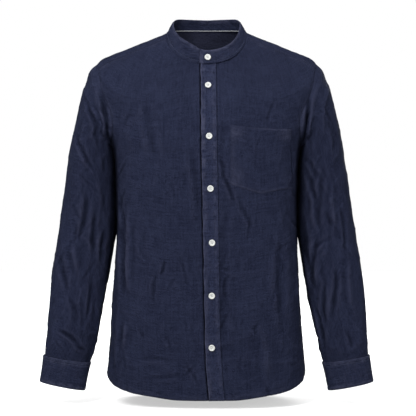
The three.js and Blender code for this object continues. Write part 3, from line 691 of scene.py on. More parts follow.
def cloth(
    name, points, material, slot, nodes, wear=None, thickness=CLOTH, tube=False, turned=1.0, shade=None, folds=None,
    inside_painted_light=0.0,
):
    """A thin closed shell on a grid of outer points; a tube's columns close on themselves."""
    rows, columns = points.shape[:2]
    if tube:
        wrapped = np.concatenate([points[:, -1:], points, points[:, :1]], axis=1)
        normal = grid_normals(wrapped, turned)[:, 1:-1]
    else:
        normal = grid_normals(points, turned)
    inner = points - normal * thickness
    both = np.concatenate([points.reshape(-1, 3), inner.reshape(-1, 3)])
    index = np.arange(rows * columns).reshape(rows, columns)
    right = np.roll(index, -1, axis=1) if tube else index[:, 1:]
    left = index if tube else index[:, :-1]
    outer = np.stack([left[:-1], right[:-1], right[1:], left[1:]], -1).reshape(-1, 4)
    faces = [outer, outer[:, ::-1] + rows * columns]

    def rim(line, following):
        faces.append(np.stack([line, line + rows * columns, following + rows * columns, following], -1))

    rim(left[0], right[0])
    rim(right[-1], left[-1])
    if not tube:
        rim(index[1:, 0], index[:-1, 0])
        rim(index[:-1, -1], index[1:, -1])
    faces = np.concatenate(faces)
    if turned < 0:
        faces = faces[:, ::-1]
    uv = np.stack([lengths(points, 1), lengths(points, 0)], -1).reshape(-1, 2)
    hollow = 0.7 * relief(points, normal, 2) + 0.3 * relief(points, normal, 4)
    folds = 0 if folds is None else folds
    # Ridges turn pale, partly rubbed dye and partly painted highlight.
    wear_and_highlight = np.clip(-hollow * RIDGE_WEAR_AND_HIGHLIGHT + folds * FOLD_RIDGE_WEAR_AND_HIGHLIGHT, 0, 0.3)
    # Troughs and the creases' troughs get painted shade.
    painted_shade = np.clip(hollow * TROUGH_PAINTED_SHADE - folds * FOLD_PAINTED_SHADE, 0, 0.5)
    wear = (wear_and_highlight if wear is None else np.maximum(wear_and_highlight, wear)).ravel()
    shade = (painted_shade if shade is None else 1 - (1 - painted_shade) * (1 - shade)).ravel()
    # On the inner side the colour is lifted by painted light, where little light reaches.
    mesh_object = new_mesh(name, both, faces, np.tile(uv, (2, 1)), wear=np.concatenate([wear, wear + inside_painted_light]), shade=np.tile(shade, 2))
    return finish_piece(mesh_object, material, slot, *nodes)


# Sewing

THREAD = 0.42
STITCH = 2.4
PITCH = 3.3


def stitch_row(points, normals, into, lift=0.12, length=STITCH, pitch=PITCH, width=THREAD):
    """Adds a row of stitches along a line of points to the lists of points and faces in into."""
    steps = np.concatenate([[0], np.cumsum(np.linalg.norm(np.diff(points, axis=0), axis=1))])
    starts = np.arange(pitch / 2, steps[-1] - length, pitch)

    def at(places):
        line = np.stack([np.interp(places, steps, points[:, k]) for k in range(3)], -1)
        upward = np.stack([np.interp(places, steps, normals[:, k]) for k in range(3)], -1)
        return line, upward / np.linalg.norm(upward, axis=1, keepdims=True)

    profile = ((0.0, 0.25, -0.25), (0.22, 0.9, 0.05), (0.78, 0.9, 0.05), (1.0, 0.25, -0.25))
    for share, fullness, rise in profile:
        line, upward = at(starts + share * length)
        ahead, _ = at(starts + share * length + 0.05)
        forward = ahead - line
        forward /= np.maximum(np.linalg.norm(forward, axis=1, keepdims=True), 1e-9)
        side = np.cross(forward, upward)
        centre = line + upward * (lift + rise * width)
        for a in range(6):
            turn = math.radians(60 * a)
            spoke = side * math.cos(turn) + upward * math.sin(turn)
            into["rings"].append(centre + spoke * (width / 2 * fullness))
    count = len(starts)
    rings = np.stack(into["rings"][-24:], 1)
    into["rings"] = []
    base = sum(len(p) for p in into["points"])
    into["points"].append(rings.reshape(-1, 3))
    local = []
    for ring in range(3):
        for a in range(6):
            b = (a + 1) % 6
            local.append((ring * 6 + a, ring * 6 + 6 + a, ring * 6 + 6 + b, ring * 6 + b))
    local = np.array(local)
    offsets = base + np.arange(count)[:, None, None] * 24
    into["quads"].append((local[None] + offsets).reshape(-1, 4))
    caps = np.array([(0, 1, 2, 3), (0, 3, 4, 5), (18, 21, 20, 19), (18, 23, 22, 21)])
    into["quads"].append((caps[None] + offsets).reshape(-1, 4))


def sewing():
    return {"points": [], "quads": [], "rings": []}


def sewn(name, into, material):
    points, quads = np.concatenate(into["points"]), np.concatenate(into["quads"])
    return finish_piece(new_mesh(name, points, quads), material, "linen")


# Materials

def node_tree(name):
    material = bpy.data.materials.new(name)
    material.use_nodes = True
    return material, material.node_tree.nodes, material.node_tree.links


def noise_node(nodes, links, vector, scale, detail=2.0, rough=0.5):
    node = nodes.new("ShaderNodeTexNoise")
    node.inputs["Scale"].default_value = scale
    node.inputs["Detail"].default_value = detail
    node.inputs["Roughness"].default_value = rough
    links.new(vector, node.inputs["Vector"])
    return node.outputs["Fac"]


def stretched(nodes, links, vector, scale):
    node = nodes.new("ShaderNodeMapping")
    node.inputs["Scale"].default_value = scale
    links.new(vector, node.inputs["Vector"])
    return node.outputs["Vector"]


def maths(nodes, links, operation, a, b):
    node = nodes.new("ShaderNodeMath")
    node.operation = operation
    for socket, value in zip(node.inputs, (a, b)):
        if isinstance(value, (int, float)):
            socket.default_value = value
        else:
            links.new(value, socket)
    return node.outputs[0]


def mixed(nodes, links, share, a, b):
    node = nodes.new("ShaderNodeMix")
    node.data_type = "RGBA"
    links.new(share, node.inputs["Factor"])
    for socket, value in ((node.inputs[6], a), (node.inputs[7], b)):
        if isinstance(value, tuple):
            socket.default_value = (*value, 1)
        else:
            links.new(value, socket)
    return node.outputs[2]


def bumped(nodes, links, height, distance, under=None):
    """The normal of a surface raised by a height, on top of another bump where there is one."""
    bump = nodes.new("ShaderNodeBump")
    bump.inputs["Strength"].default_value = 0.8
    bump.inputs["Distance"].default_value = distance
    links.new(height, bump.inputs["Height"])
    if under is not None:
        links.new(under, bump.inputs["Normal"])
    return bump.outputs["Normal"]


def linen(name, dark, light, faded):
    """Washed linen: warp and weft threads with slubs, a mottled dye, pale worn edges, ridges made paler partly by
    painted highlight, and painted shade.
    """
    material, nodes, links = node_tree(name)
    shader = nodes["Principled BSDF"]
    shader.inputs["Roughness"].default_value = 0.9
    shader.inputs["Specular IOR Level"].default_value = 0.01
    uv = nodes.new("ShaderNodeUVMap")
    uv.uv_map = "UVMap"
    uv = uv.outputs["UV"]
    warp = noise_node(nodes, links, stretched(nodes, links, uv, (1500, 70, 1)), 1, 2)
    weft = noise_node(nodes, links, stretched(nodes, links, uv, (60, 1500, 1)), 1, 2)
    slub_warp = noise_node(nodes, links, stretched(nodes, links, uv, (300, 24, 1)), 1, 3)
    slub_weft = noise_node(nodes, links, stretched(nodes, links, uv, (20, 300, 1)), 1, 3)
    mottle = noise_node(nodes, links, uv, 190, 4, 0.75)
    patches = noise_node(nodes, links, uv, 22, 3, 0.6)
    threads = maths(nodes, links, "ADD", warp, weft)
    slubs = maths(nodes, links, "ADD", slub_warp, slub_weft)
    grain = noise_node(nodes, links, uv, 460, 1, 0.6)
    tone = maths(nodes, links, "MULTIPLY", threads, 0.2)
    tone = maths(nodes, links, "ADD", tone, maths(nodes, links, "MULTIPLY", slubs, 0.6))
    tone = maths(nodes, links, "ADD", tone, maths(nodes, links, "MULTIPLY", mottle, 0.5))
    tone = maths(nodes, links, "ADD", tone, maths(nodes, links, "MULTIPLY", grain, 0.9))
    tone = maths(nodes, links, "ADD", tone, maths(nodes, links, "MULTIPLY", patches, 0.25))
    spread = nodes.new("ShaderNodeMapRange")
    spread.inputs["From Min"].default_value = 1.36
    spread.inputs["From Max"].default_value = 1.80
    links.new(tone, spread.inputs["Value"])
    colour = mixed(nodes, links, spread.outputs["Result"], dark, light)
    # The wear attribute pales the colour: rubbed dye, with painted highlight on ridges, on the pocket's bottom edge and
    # inside the yoke.
    wear = nodes.new("ShaderNodeAttribute")
    wear.attribute_name = "wear"
    wear_and_highlight = maths(nodes, links, "MULTIPLY", wear.outputs["Fac"], maths(nodes, links, "ADD", mottle, 0.35))
    colour = mixed(nodes, links, wear_and_highlight, colour, faded)
    # Painted shade: the shade attribute darkens the colour towards a fifth of the dark navy.
    painted_shade = nodes.new("ShaderNodeAttribute")
    painted_shade.attribute_name = "shade"
    colour = mixed(nodes, links, painted_shade.outputs["Fac"], colour, tuple(c * 0.2 for c in dark))
    links.new(colour, shader.inputs["Base Color"])
    weave = bumped(nodes, links, maths(nodes, links, "ADD", maths(nodes, links, "MULTIPLY", threads, 0.35), slubs), 0.0007)
    crinkle = maths(nodes, links, "ADD", mottle, maths(nodes, links, "MULTIPLY", grain, 0.5))
    links.new(bumped(nodes, links, crinkle, 0.006, weave), shader.inputs["Normal"])
    return material


def plain(name, colour, roughness, grain, specular=0.5):
    """A small hard or sewn thing: one colour, broken by a fine grain."""
    material, nodes, links = node_tree(name)
    shader = nodes["Principled BSDF"]
    shader.inputs["Roughness"].default_value = roughness
    shader.inputs["Specular IOR Level"].default_value = specular
    place = nodes.new("ShaderNodeTexCoord").outputs["Object"]
    speck = noise_node(nodes, links, place, grain, 3)
    shade = tuple(c * 0.82 for c in colour)
    links.new(mixed(nodes, links, speck, shade, colour), shader.inputs["Base Color"])
    bump = nodes.new("ShaderNodeBump")
    bump.inputs["Strength"].default_value = 0.15
    bump.inputs["Distance"].default_value = 0.0002
    links.new(speck, bump.inputs["Height"])
    links.new(bump.outputs["Normal"], shader.inputs["Normal"])
    return material


NAVY_DARK = (0.0032, 0.0040, 0.0094)
NAVY = (0.0080, 0.0098, 0.0202)
NAVY_WORN = (0.026, 0.0275, 0.046)
linen_body = linen("linen_body", NAVY_DARK, NAVY, NAVY_WORN)
linen_trim = linen("linen_trim", tuple(c * 0.98 for c in NAVY_DARK), tuple(c * 1.0 for c in NAVY), NAVY_WORN)
linen_placket = linen("linen_placket", tuple(c * 1.12 for c in NAVY_DARK), tuple(c * 1.2 for c in NAVY), NAVY_WORN)
thread_navy = plain("thread_navy", (0.028, 0.033, 0.054), 0.8, 900, 0.05)
thread_dark = plain("thread_dark", (0.010, 0.012, 0.023), 0.8, 900, 0.02)
thread_white = plain("thread_white", (0.20, 0.20, 0.195), 0.8, 900, 0.1)
piping_grey = plain("piping_grey", (0.14, 0.145, 0.155), 0.8, 700, 0.1)
button_white = plain("button_white", (0.235, 0.24, 0.232), 0.4, 300, 0.12)


# Panels

BODY_STEP = 3.1


def body_rows(top):
    below = np.linspace(0, UNDERARM_UP, round(UNDERARM_UP / BODY_STEP) + 1)[:-1]
    _, hole = armhole(180 - np.linspace(0, 180, 53))
    above = np.linspace(SHOULDER_UP, NECK_UP, round((NECK_UP - SHOULDER_UP) / BODY_STEP) + 1)[1:]
    rows = np.concatenate([below, hole, above])
    return rows[rows <= top + 1e-6]


def side_shade(points):
    """The painted shade on the torso's side, in the slot next to the sleeve."""
    x, y, z = np.abs(points[..., 0]), points[..., 1], points[..., 2]
    wide = read(TORSO_SIDE, "z", np.clip(z, TORSO_SIDE["z"][0], TORSO_SIDE["z"][-1]))["x"]
    reach = smooth((x - wide + 9) / 8) * smooth((z + 455) / 50) * smooth((-135 - z) / 60)
    return 0.92 * reach * smooth((y + 105) / 40)


def front_panel(side):
    up = body_rows(NECK_UP)[:, None]
    columns = 98
    sign = 1 if side == "left" else -1
    start = angle_at("front", up, PLACKET_SEAM_X + sign * SEAM / 2 + np.zeros_like(up))
    end = front_edge(up) if side == "left" else -180 - front_edge(up)
    share = np.linspace(0, 1, columns)[None]
    # The columns lie closer together towards the placket.
    points, normal = body(mix(start, end, share * (0.55 + 0.45 * share)), up + np.zeros((1, columns)))
    folds = body_creases(points, normal)
    groove_x = placket_left(up) if side == "right" else placket_left(up) + PLACKET_WIDTH
    away = (points[..., 0] - groove_x) * sign
    groove = np.where(away > 0, np.exp(-((away / 3.2) ** 2)), 1) * (2.0 if side == "right" else 0.7)
    points = points - normal * groove[..., None]
    seed = 101 if side == "left" else 131
    points, wear = rolled(points, ["bottom", "right", "top"], seed, sign, flat=("top",), depth=0.45, fade=0.3)
    wear = np.maximum(wear, hem_wear(points))
    name = f"front_{side}_linen"
    # Painted shade in the deep fold where the seam runs from the armpit up the armhole's front.
    fold = np.exp(-((edge_distances(points)["right"] / 5) ** 2)) * smooth((550 - up) / 50) * smooth((up - 462) / 12)
    shade = np.maximum(side_shade(points), 0.75 * fold)
    if side == "right":  # a painted shadow along the placket's free edge
        shade = np.maximum(shade, 0.85 * np.exp(-(((away - 1.2) / 1.5) ** 2)) + 0.9 * (away < 0.5))
    parts = [f"front_{side}"]
    return cloth(name, points, linen_body, "linen", parts, wear, turned=sign, shade=shade, folds=folds)


def hem_wear(points):
    """The pale wavy line along the fold of the narrow hem."""
    away = edge_distances(points)["bottom"]
    return 0.3 * np.exp(-(((away - 8.5) / 1.6) ** 2)) * np.clip(0.6 + noise(points, 14, 411), 0, 1)


def centre_share(angle, edge):
    return smooth((90 - np.abs(angle - 90) - edge) / (90 - edge))


def back_panel():
    hole_turns = np.linspace(180, YOKE_TURN, 36)
    hole_angle, hole_up = armhole(hole_turns)
    below = np.linspace(0, UNDERARM_UP, round(UNDERARM_UP / 3.3) + 1)[:-1]
    up = np.concatenate([below, hole_up])[:, None]
    edge = np.concatenate([np.zeros(len(below)), hole_angle])[:, None] + HALF_SEAM
    rise = np.concatenate([np.zeros(len(below)), SEAM_RISE * np.linspace(0, 1, len(hole_turns)) ** RISE_FALLS])
    columns = 196
    angle = mix(edge, 180 - edge, np.linspace(0, 1, columns)[None])
    points, normal = body(angle, up - SEAM * (up == up.max()) + rise[:, None] * centre_share(angle, edge))
    folds = body_creases(points, normal)
    points, wear = rolled(points, ["bottom", "left", "right", "top"], 161, depth=0.45)
    wear = np.maximum(wear, hem_wear(points))
    return cloth("back_linen", points, linen_body, "linen", ["back"], wear, folds=folds)


def yoke_panel():
    hole_turns = np.linspace(YOKE_TURN, 0, 18)
    hole_angle, hole_up = armhole(hole_turns)
    above = np.linspace(SHOULDER_UP, NECK_UP, 41)[1:]
    up = np.concatenate([hole_up, above])[:, None]
    edge = np.concatenate([hole_angle + HALF_SEAM, np.full(len(above), FRONT_SEAM_ANGLE)])[:, None]
    left = (hole_up[-1] - hole_up) / (hole_up[-1] - hole_up[0])
    rise = np.concatenate([mix(RISE_ABOVE, SEAM_RISE, left), RISE_ABOVE * (1 - np.linspace(0, 1, 41)[1:])])
    columns = 170
    angle = mix(edge, 180 - edge, np.linspace(0, 1, columns)[None])
    points, _ = body(angle, up + rise[:, None] * centre_share(angle, edge))
    points, wear = rolled(points, ["bottom", "left", "right", "top"], 191, fade=0.15, depth=0.2, flat=("top",))
    # Its inner side is painted lighter, as painted light where little light reaches.
    return cloth("yoke_linen", points, linen_body, "linen", ["yoke"], wear, inside_painted_light=0.42)


def placket_panel():
    up = np.minimum(body_rows(NECK_UP), NECK_UP - 0.5)[:, None]
    across = np.linspace(0, 1, 17)[None]
    x = placket_left(up) + PLACKET_WIDTH * across
    wave = 0.5 + 0.3 * np.sin(up / 13) * np.sin(up / 37 + 1) + 0.2 * np.sin(up / 7.3 + 2 * np.sin(up / 51))
    free = (0.7 + 1.0 * wave) * np.exp(-((across * PLACKET_WIDTH / 6) ** 2))  # its free edge stands off
    shifted = x + 1.8 * (wave - 0.5) * (1 - across) ** 2
    points, _ = body(angle_at("front", up, shifted), up + 0 * x, LIFT + free + 0 * x)
    points, wear = rolled(points, ["bottom", "left", "right"], 211, depth=0.5, pucker=0.9, allowance=5, fade=0.8)
    wear = wear * (1 - 0.7 * smooth((across - 0.75) / 0.15)) + speckle(points, 215, 0.12)
    return cloth("placket_linen", points, linen_placket, "linen", ["placket"], wear, thickness=1.2)


def pocket_places(across, rise, lift):
    x = mix(POCKET["left"], POCKET["right"], across)
    corner = POCKET["side_up"] + POCKET["side_fall"] * across
    bottom = mix(POCKET["point_up"], corner, np.abs(2 * across - 1))
    up = mix(bottom, POCKET["top_up"] + POCKET["top_fall"] * across, rise)
    return body(angle_at("front", up, x), up, lift)


def pocket_panel():
    rise, across = np.meshgrid(np.linspace(0, 1, 52), np.linspace(0, 1, 51), indexing="ij")
    hem = smooth((rise - (1 - POCKET_HEM / POCKET_HEIGHT)) / 0.02)
    gape = 0.9 * smooth((rise - 0.85) / 0.15) * np.sin(np.pi * across)
    side_away = np.minimum(across, 1 - across) * (POCKET["right"] - POCKET["left"])
    away = np.minimum(side_away, rise * POCKET_HEIGHT)
    points, _ = pocket_places(across, rise, 0.3 + (POCKET_LIFT - 0.3 + 0.3 * hem) * smooth(away / 7) + gape)
    points, wear = rolled(points, ["bottom", "left", "right", "top"], 241, depth=0.1, pucker=0.6, allowance=4, fade=0.0, groove=0.1)
    uneven = 0.95 + 0.6 * noise(points, 4.5, 251) + 0.2 * noise(points, 9, 252)
    # Rubbed patches of dye, and a painted highlight along the bottom edge.
    wear_and_highlight = 0.0
    for at, high, wide, tall, strength in zip(*POCKET_WEAR_AND_HIGHLIGHT.values()):
        wear_and_highlight = wear_and_highlight + strength * np.exp(-(((across - at) / wide) ** 2) - ((rise - high) / tall) ** 2)
    wear = np.clip(wear + wear_and_highlight * uneven, 0, 0.7)
    return cloth("pocket_linen", points, linen_body, "linen", ["pocket"], wear, thickness=0.45)


def sleeve_panel(side):
    along = np.concatenate([np.linspace(0, 0.06, 16)[:-1], np.linspace(0.06, 1, 190)])[:, None]
    turn = np.linspace(-180, 180, 113)[None, :-1]
    points, normal = sleeve(side, turn, along)
    folds = 1.35 * sleeve_creases(side, points, normal)
    sign = -1 if side == "left" else 1
    seed = 271 if side == "left" else 301
    points, wear = rolled(points, ["bottom", "top"], seed, sign, depth=0.3, allowance=5, fade=0.12)
    parts = [f"sleeve_{side}_upper", f"sleeve_{side}_lower"]
    # Painted shade on the sleeve's inner side, where it hangs against the torso, and in the fold along the armhole's
    # front.
    shade = smooth((np.abs(turn) - 134) / 30) * smooth((along - 0.01) / 0.03) * (1 - smooth((along - 0.42) / 0.16))
    fold = smooth((-turn - 108) / 30) * smooth(along / 0.01) * (1 - smooth((along - 0.02) / 0.06))
    shade = np.maximum(0.9 * shade, 0.75 * fold)
    name = f"sleeve_{side}_linen"
    return cloth(name, points, linen_body, "linen", parts, wear, tube=True, turned=sign, shade=shade, folds=folds)


def cuff_panel(side):
    flip = np.array([1 if side == "left" else -1, 1, 1])
    turn = np.linspace(CUFF_LAP[0], CUFF_LAP[1] + 360, 140)[None]
    rise = np.linspace(0, 1, 26)[:, None]
    over = smooth((turn - CUFF_LAP[1] - 262) / 50) * CUFF_OVER
    points, _ = cuff(turn, rise, over + 0 * rise)
    points = points * flip
    turned = 1 if side == "left" else -1
    edges = ["bottom", "top", "left", "right"]
    points, wear = rolled(points, edges, 331, turned, depth=0.6, pucker=1.3, allowance=6, fade=0.6)
    wear = wear + speckle(points, 335, 0.12)
    return cloth(
        f"cuff_{side}_linen", points, linen_trim, "linen", [f"cuff_{side}"], wear, thickness=1.6, turned=turned
    )


def slit_panel(side):
    half = SLIT["half_width"] / math.radians(SLEEVE_RADIUS)
    turn = SLIT["turn"] + half * np.linspace(-1, 1, 13)[None]
    along = np.linspace(SLIT["start"], SLIT["end"], 44)[:, None]
    points, _ = sleeve(side, turn, along, LIFT + 0.3)
    turned = -1 if side == "left" else 1
    edges = ["bottom", "top", "left", "right"]
    points, wear = rolled(points, edges, 361, turned, depth=0.5, pucker=0.4, allowance=3)
    return cloth(
        f"sleeve_placket_{side}_linen", points, linen_trim, "linen", [f"sleeve_placket_{side}"], wear, turned=turned
    )


def collar_angle(rise, x):
    ring = read(COLLAR_RINGS, "up", rise)
    c = abs(x) / ring["side_x"]
    angle = np.degrees(np.arctan2((1 - c**COLLAR_SQUARE) ** (1 / COLLAR_SQUARE), c))
    return -180 + angle if x < 0 else -angle


def collar_panel():
    rise = np.linspace(-COLLAR_HANG, 1, 21)[:, None]
    start, end = collar_angle(rise, COLLAR_OVER_END), collar_angle(rise, COLLAR_UNDER_END) + 360
    angle = mix(start, end, np.linspace(0, 1, 210)[None])
    over = (1 - smooth((angle + 90 - 20) / 60)) * COLLAR_OVER
    corner = smooth((rise - 0.6) / 0.4) ** 2 * 3.2  # rounds off the over end's top corner
    angle = mix(start + corner, end, np.linspace(0, 1, 210)[None])
    points, _ = collar(angle, rise + 0 * angle, over + 0.4 * smooth((0.1 - rise) / 0.1))
    edges = ["bottom", "top", "left", "right"]
    points, wear = rolled(
        points, edges, 391, depth=0.5, pucker=1.2, allowance=4, fade=0.9, flat=("bottom",), groove=0.15
    )
    wear = wear + speckle(points, 395, 0.12)
    return cloth("collar_linen", points, linen_trim, "linen", ["collar"], wear, thickness=1.6)


def piping_strip():
    angle = np.linspace(14, 166, 120)[None]
    rise = np.array([0.12, 0.135, 0.15, 0.165, 0.175])[:, None] - 0.07 * np.sin(np.radians(angle))
    points, _ = collar(angle, rise, -3.0 + 0 * angle)
    return cloth("neck_piping_strip", points, piping_grey, "piping", ["neck_piping"], thickness=0.8)


sheets = {
    "front_left": front_panel("left"),
    "front_right": front_panel("right"),
    "back": back_panel(),
    "yoke": yoke_panel(),
    "placket": placket_panel(),
    "pocket": pocket_panel(),
    "collar": collar_panel(),
    "neck_piping": piping_strip(),
}
for side in ("left", "right"):
    sheets[f"sleeve_{side}"] = sleeve_panel(side)
    sheets[f"cuff_{side}"] = cuff_panel(side)
    sheets[f"sleeve_placket_{side}"] = slit_panel(side)


# Stitches

def sew_body():
    into = sewing()

    def body_line(angle, up, lift):
        points, normals = body(angle, up, lift)
        stitch_row(points, normals, into)

    along = np.linspace(0, 1, 400)
    up = along * (NECK_UP - 6) + 2
    for inset in (4.5, PLACKET_WIDTH - 4.5):
        body_line(angle_at("front", up, placket_left(up) + inset), up, LIFT + 0.05)
    for edge in (-179.3, 0.7):
        whole = np.linspace(0, 178.6, 500)
        body_line(edge + whole, 6.5 + 0 * whole, 0.15)
    hole = np.linspace(-172, 172, 300)
    angle, hole_up = armhole(hole, -6)
    for mirror in (False, True):
        body_line(180 - angle if mirror else angle, hole_up, 0.2)
    ridge = np.linspace(SHOULDER_UP + 2, NECK_UP - 3, 80)
    for offset in (-1.6, 1.6):
        for mirror in (False, True):
            line = FRONT_SEAM_ANGLE + offset + 0 * ridge
            body_line(180 - line if mirror else line, ridge, 0.2)
    hole_angle, hole_up = armhole(YOKE_TURN)
    edge = float(hole_angle)
    across = np.linspace(edge + 1, 179 - edge, 300)
    body_line(across, hole_up + 5 + SEAM_RISE * centre_share(across, edge), 0.2)
    return sewn("body_stitches", into, thread_dark)


def sew_pocket():
    into = sewing()
    side = np.linspace(0, 1, 120)
    inset = 2.6 / (POCKET["right"] - POCKET["left"])
    for across in (inset, 1 - inset):
        points, normals = pocket_places(across + 0 * side, mix(0.02, 0.985, side), POCKET_LIFT + 0.4)
        stitch_row(points, normals, into)
    for start, end in ((inset, 0.5), (0.5, 1 - inset)):
        points, normals = pocket_places(mix(start, end, side), 0.022 + 0 * side, POCKET_LIFT + 0.2)
        stitch_row(points, normals, into)
    points, normals = pocket_places(mix(inset, 1 - inset, side), 1 - POCKET_HEM / POCKET_HEIGHT + 0.01 + 0 * side, POCKET_LIFT + 0.3)
    stitch_row(points, normals, into)
    return sewn("pocket_stitches", into, thread_dark)


def sew_collar_and_cuffs():
    into = sewing()
    for rise in (0.14, 0.88):
        start, end = collar_angle(rise, COLLAR_OVER_END + 4), collar_angle(rise, COLLAR_UNDER_END) + 350
        angle = np.linspace(float(start), float(end), 400)
        over = (1 - smooth((angle + 90 - 20) / 60)) * COLLAR_OVER
        points, normals = collar(angle, rise + 0 * angle, over + 0.25)
        stitch_row(points, normals, into)
    turn = np.linspace(CUFF_LAP[0] + 12, CUFF_LAP[1] + 354, 300)
    over = smooth((turn - CUFF_LAP[1] - 262) / 50) * CUFF_OVER
    for flip in (1, -1):
        for rise in (0.09, 0.86, 0.93):
            points, normals = cuff(turn, rise + 0 * turn, over + 0.25)
            stitch_row(points * (flip, 1, 1), normals * (flip, 1, 1), into)
    return sewn("collar_and_cuff_stitches", into, thread_navy)


stitches = {"body": sew_body(), "pocket": sew_pocket(), "trim": sew_collar_and_cuffs()}


# Buttons

BUTTON_RADIUS = 6.35
BUTTON_PROFILE = (
    (0.0, 1.7), (3.3, 1.75), (3.9, 2.0), (4.4, 2.55), (5.1, 2.95), (5.8, 2.75), (6.25, 2.2),
    (6.35, 1.6), (6.2, 1.0), (5.6, 0.4), (4.6, 0.12), (0.0, 0.1),
)
BUTTON_SIDES = 40
HOLE_AT = 1.35
HOLE_RADIUS = 0.72


def button_mesh():
    """One button about its own middle, facing +Z, with four holes cut through."""
    turns = np.linspace(0, 2 * np.pi, BUTTON_SIDES, endpoint=False)
    points = [(0, 0, BUTTON_PROFILE[0][1])]
    for radius, height in BUTTON_PROFILE[1:-1]:
        points += [(radius * math.cos(t), radius * math.sin(t), height) for t in turns]
    points.append((0, 0, BUTTON_PROFILE[-1][1]))
    faces = []
    rings = len(BUTTON_PROFILE) - 2
    for j in range(BUTTON_SIDES):
        k = (j + 1) % BUTTON_SIDES
        faces.append((0, 1 + j, 1 + k))
        for ring in range(rings - 1):
            a, b = 1 + ring * BUTTON_SIDES, 1 + (ring + 1) * BUTTON_SIDES
            faces.append((a + j, b + j, b + k, a + k))
        last = 1 + (rings - 1) * BUTTON_SIDES
        faces.append((last + j, len(points) - 1, last + k))
    disc = bpy.data.meshes.new("button_disc")
    disc.from_pydata(points, [], faces)
    disc_object = bpy.data.objects.new("button_disc", disc)
    cutter_points, cutter_faces = [], []
    for x, y in itertools.product((-HOLE_AT, HOLE_AT), repeat=2):
        base = len(cutter_points)
        for z in (-2, 5):
            cutter_points += [
                (x + HOLE_RADIUS * math.cos(a), y + HOLE_RADIUS * math.sin(a), z)
                for a in np.linspace(0, 2 * np.pi, 14, endpoint=False)
            ]
        cutter_faces.append(tuple(base + i for i in reversed(range(14))))
        cutter_faces.append(tuple(base + 14 + i for i in range(14)))
        cutter_faces += [
            (base + i, base + (i + 1) % 14, base + 14 + (i + 1) % 14, base + 14 + i) for i in range(14)
        ]
    cutter = bpy.data.meshes.new("button_holes")
    cutter.from_pydata(cutter_points, [], cutter_faces)
    cutter_object = bpy.data.objects.new("button_holes", cutter)
    for made in (disc_object, cutter_object):
        bpy.context.collection.objects.link(made)
    cut = disc_object.modifiers.new("holes", "BOOLEAN")
    cut.object = cutter_object
    cut.solver = "EXACT"
    evaluated = disc_object.evaluated_get(bpy.context.evaluated_depsgraph_get())
    mesh = bpy.data.meshes.new_from_object(evaluated)
    for made in (disc_object, cutter_object):
        bpy.data.objects.remove(made)
    found = np.array([v.co for v in mesh.vertices])
    return found, [tuple(p.vertices) for p in mesh.polygons]


button_points, button_faces = button_mesh()


def axes_at(normal):
    upward = normal / np.linalg.norm(normal)
    side = np.cross((0, 0, 1.0), upward)
    side /= np.linalg.norm(side)
    return np.array([side, np.cross(upward, side), upward])


def put_button(name, node, point, normal, turn):
    """A button lying on a place of the cloth, turned in its own plane, with its thread."""
    axes = axes_at(np.asarray(normal).reshape(3))
    spin = np.array([[math.cos(turn), math.sin(turn), 0], [-math.sin(turn), math.cos(turn), 0], [0, 0, 1]])
    base = np.asarray(point).reshape(3)
    placed = (button_points @ spin) @ axes + base
    button = new_mesh(name, placed, button_faces)
    button.data.set_sharp_from_angle(angle=math.radians(35))
    finish_piece(button, button_white, "button", node)
    into = sewing()
    for y in (-HOLE_AT, HOLE_AT):
        for shift in (-0.22, 0.22):
            line = np.array([(x, y + shift, 1.9 + 0.35 * math.cos(x / HOLE_AT * 1.4)) for x in np.linspace(-1.5, 1.5, 9)])
            line = (line @ spin) @ axes + base
            upward = np.tile(axes[2], (9, 1))
            stitch_row(line, upward, into, lift=0, length=2.6, pitch=0.4, width=0.5)
    return into


button_threads = sewing()


def gather(into):
    base = sum(len(p) for p in button_threads["points"])
    for points in into["points"]:
        button_threads["points"].append(points)
    for quads in into["quads"]:
        button_threads["quads"].append(quads + base)


turns = (0.2, -0.5, 0.9, 0.1, -0.3, 0.6, -0.8)
place, normal = collar(collar_angle(0.42, COLLAR_BUTTON_X), 0.42, COLLAR_OVER)
gather(put_button("button_1_disc", "button_1", place, normal, turns[0]))
for i, (up, x) in enumerate(BUTTON_LINE):
    place, normal = body(angle_at("front", up, x), up, LIFT + 0.1)
    gather(put_button(f"button_{i + 2}_disc", f"button_{i + 2}", place, normal, turns[i + 1]))
for side, flip in (("left", 1), ("right", -1)):
    place, normal = cuff(sum(CUFF_LAP) / 2, 0.5, CUFF_OVER + 0.5)
    gather(put_button(f"cuff_button_{side}_disc", f"cuff_button_{side}", place * (flip, 1, 1), normal * (flip, 1, 1), 0.4))
finish_piece(
    new_mesh("button_threads", np.concatenate(button_threads["points"]), np.concatenate(button_threads["quads"])),
    thread_white,
    "button",
)


# The studio

def area_light(name, place, target, size, power):
    light = bpy.data.lights.new(name, "AREA")
    light.shape = "RECTANGLE"
    light.size, light.size_y = size
    light.energy = power
    lamp = bpy.data.objects.new(name, light)
    bpy.context.collection.objects.link(lamp)
    lamp.location = place
    aim = np.array(target) - np.array(place)
    lamp.rotation_euler = (math.atan2(math.hypot(aim[0], aim[1]), -aim[2]), 0, math.atan2(aim[1], aim[0]) - math.pi / 2)
    return lamp


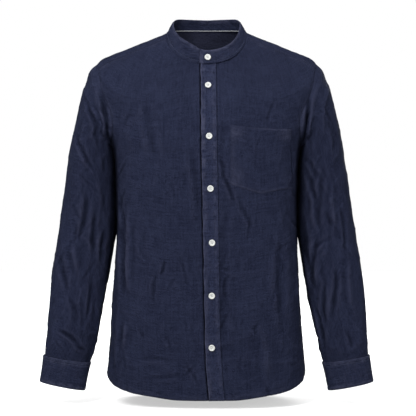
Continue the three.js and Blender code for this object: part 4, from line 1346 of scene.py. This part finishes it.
def studio():
    world = bpy.data.worlds.new("studio")
    bpy.context.scene.world = world
    world.use_nodes = True
    background = world.node_tree.nodes["Background"]
    background.inputs["Color"].default_value = (1, 1, 1, 1)
    background.inputs["Strength"].default_value = 1.0
    floor_z = cad_box[0][2] - 0.003
    size = 6.0
    mesh = bpy.data.meshes.new("floor")
    mesh.from_pydata([(x * size, y * size, floor_z) for x, y in ((-1, -1), (1, -1), (1, 1), (-1, 1))], [], [(0, 1, 2, 3)])
    floor = bpy.data.objects.new("floor", mesh)
    bpy.context.collection.objects.link(floor)
    material, nodes, links = node_tree("floor_white")
    shader = nodes["Principled BSDF"]
    shader.inputs["Base Color"].default_value = (0.28, 0.28, 0.28, 1)
    shader.inputs["Roughness"].default_value = 0.9
    shader.inputs["Specular IOR Level"].default_value = 0.0
    shader.inputs["Emission Color"].default_value = (1, 1, 1, 1)
    distance = nodes.new("ShaderNodeVectorMath")
    distance.operation = "LENGTH"
    links.new(nodes.new("ShaderNodeTexCoord").outputs["Object"], distance.inputs[0])
    glow = nodes.new("ShaderNodeMapRange")
    glow.inputs["From Min"].default_value = 0.8
    glow.inputs["From Max"].default_value = 1.6
    glow.inputs["To Min"].default_value = 0.5
    links.new(distance.outputs["Value"], glow.inputs["Value"])
    links.new(glow.outputs["Result"], shader.inputs["Emission Strength"])
    floor.data.materials.append(material)
    middle = (0, 0, -0.36)
    area_light("key", (-1.4, -2.5, 1.7), middle, (1.3, 1.4), 320)
    area_light("fill", (1.8, -3.1, 0.2), middle, (1.2, 1.6), 114)
    area_light("rear", (0.9, 2.8, 1.2), middle, (1.6, 1.6), 170)
    area_light("top", (0, 0.2, 2.2), middle, (2.0, 1.4), 90)


def camera():
    lens = bpy.data.cameras.new("camera")
    lens.sensor_width = 36
    lens.lens = 125.7
    eye = bpy.data.objects.new("camera", lens)
    bpy.context.collection.objects.link(eye)
    eye.location = (0.0029, -3.0, -0.361)
    eye.rotation_euler = (math.radians(90), 0, 0)
    bpy.context.scene.camera = eye


studio()
camera()
bpy.context.scene.view_settings.view_transform = "Standard"
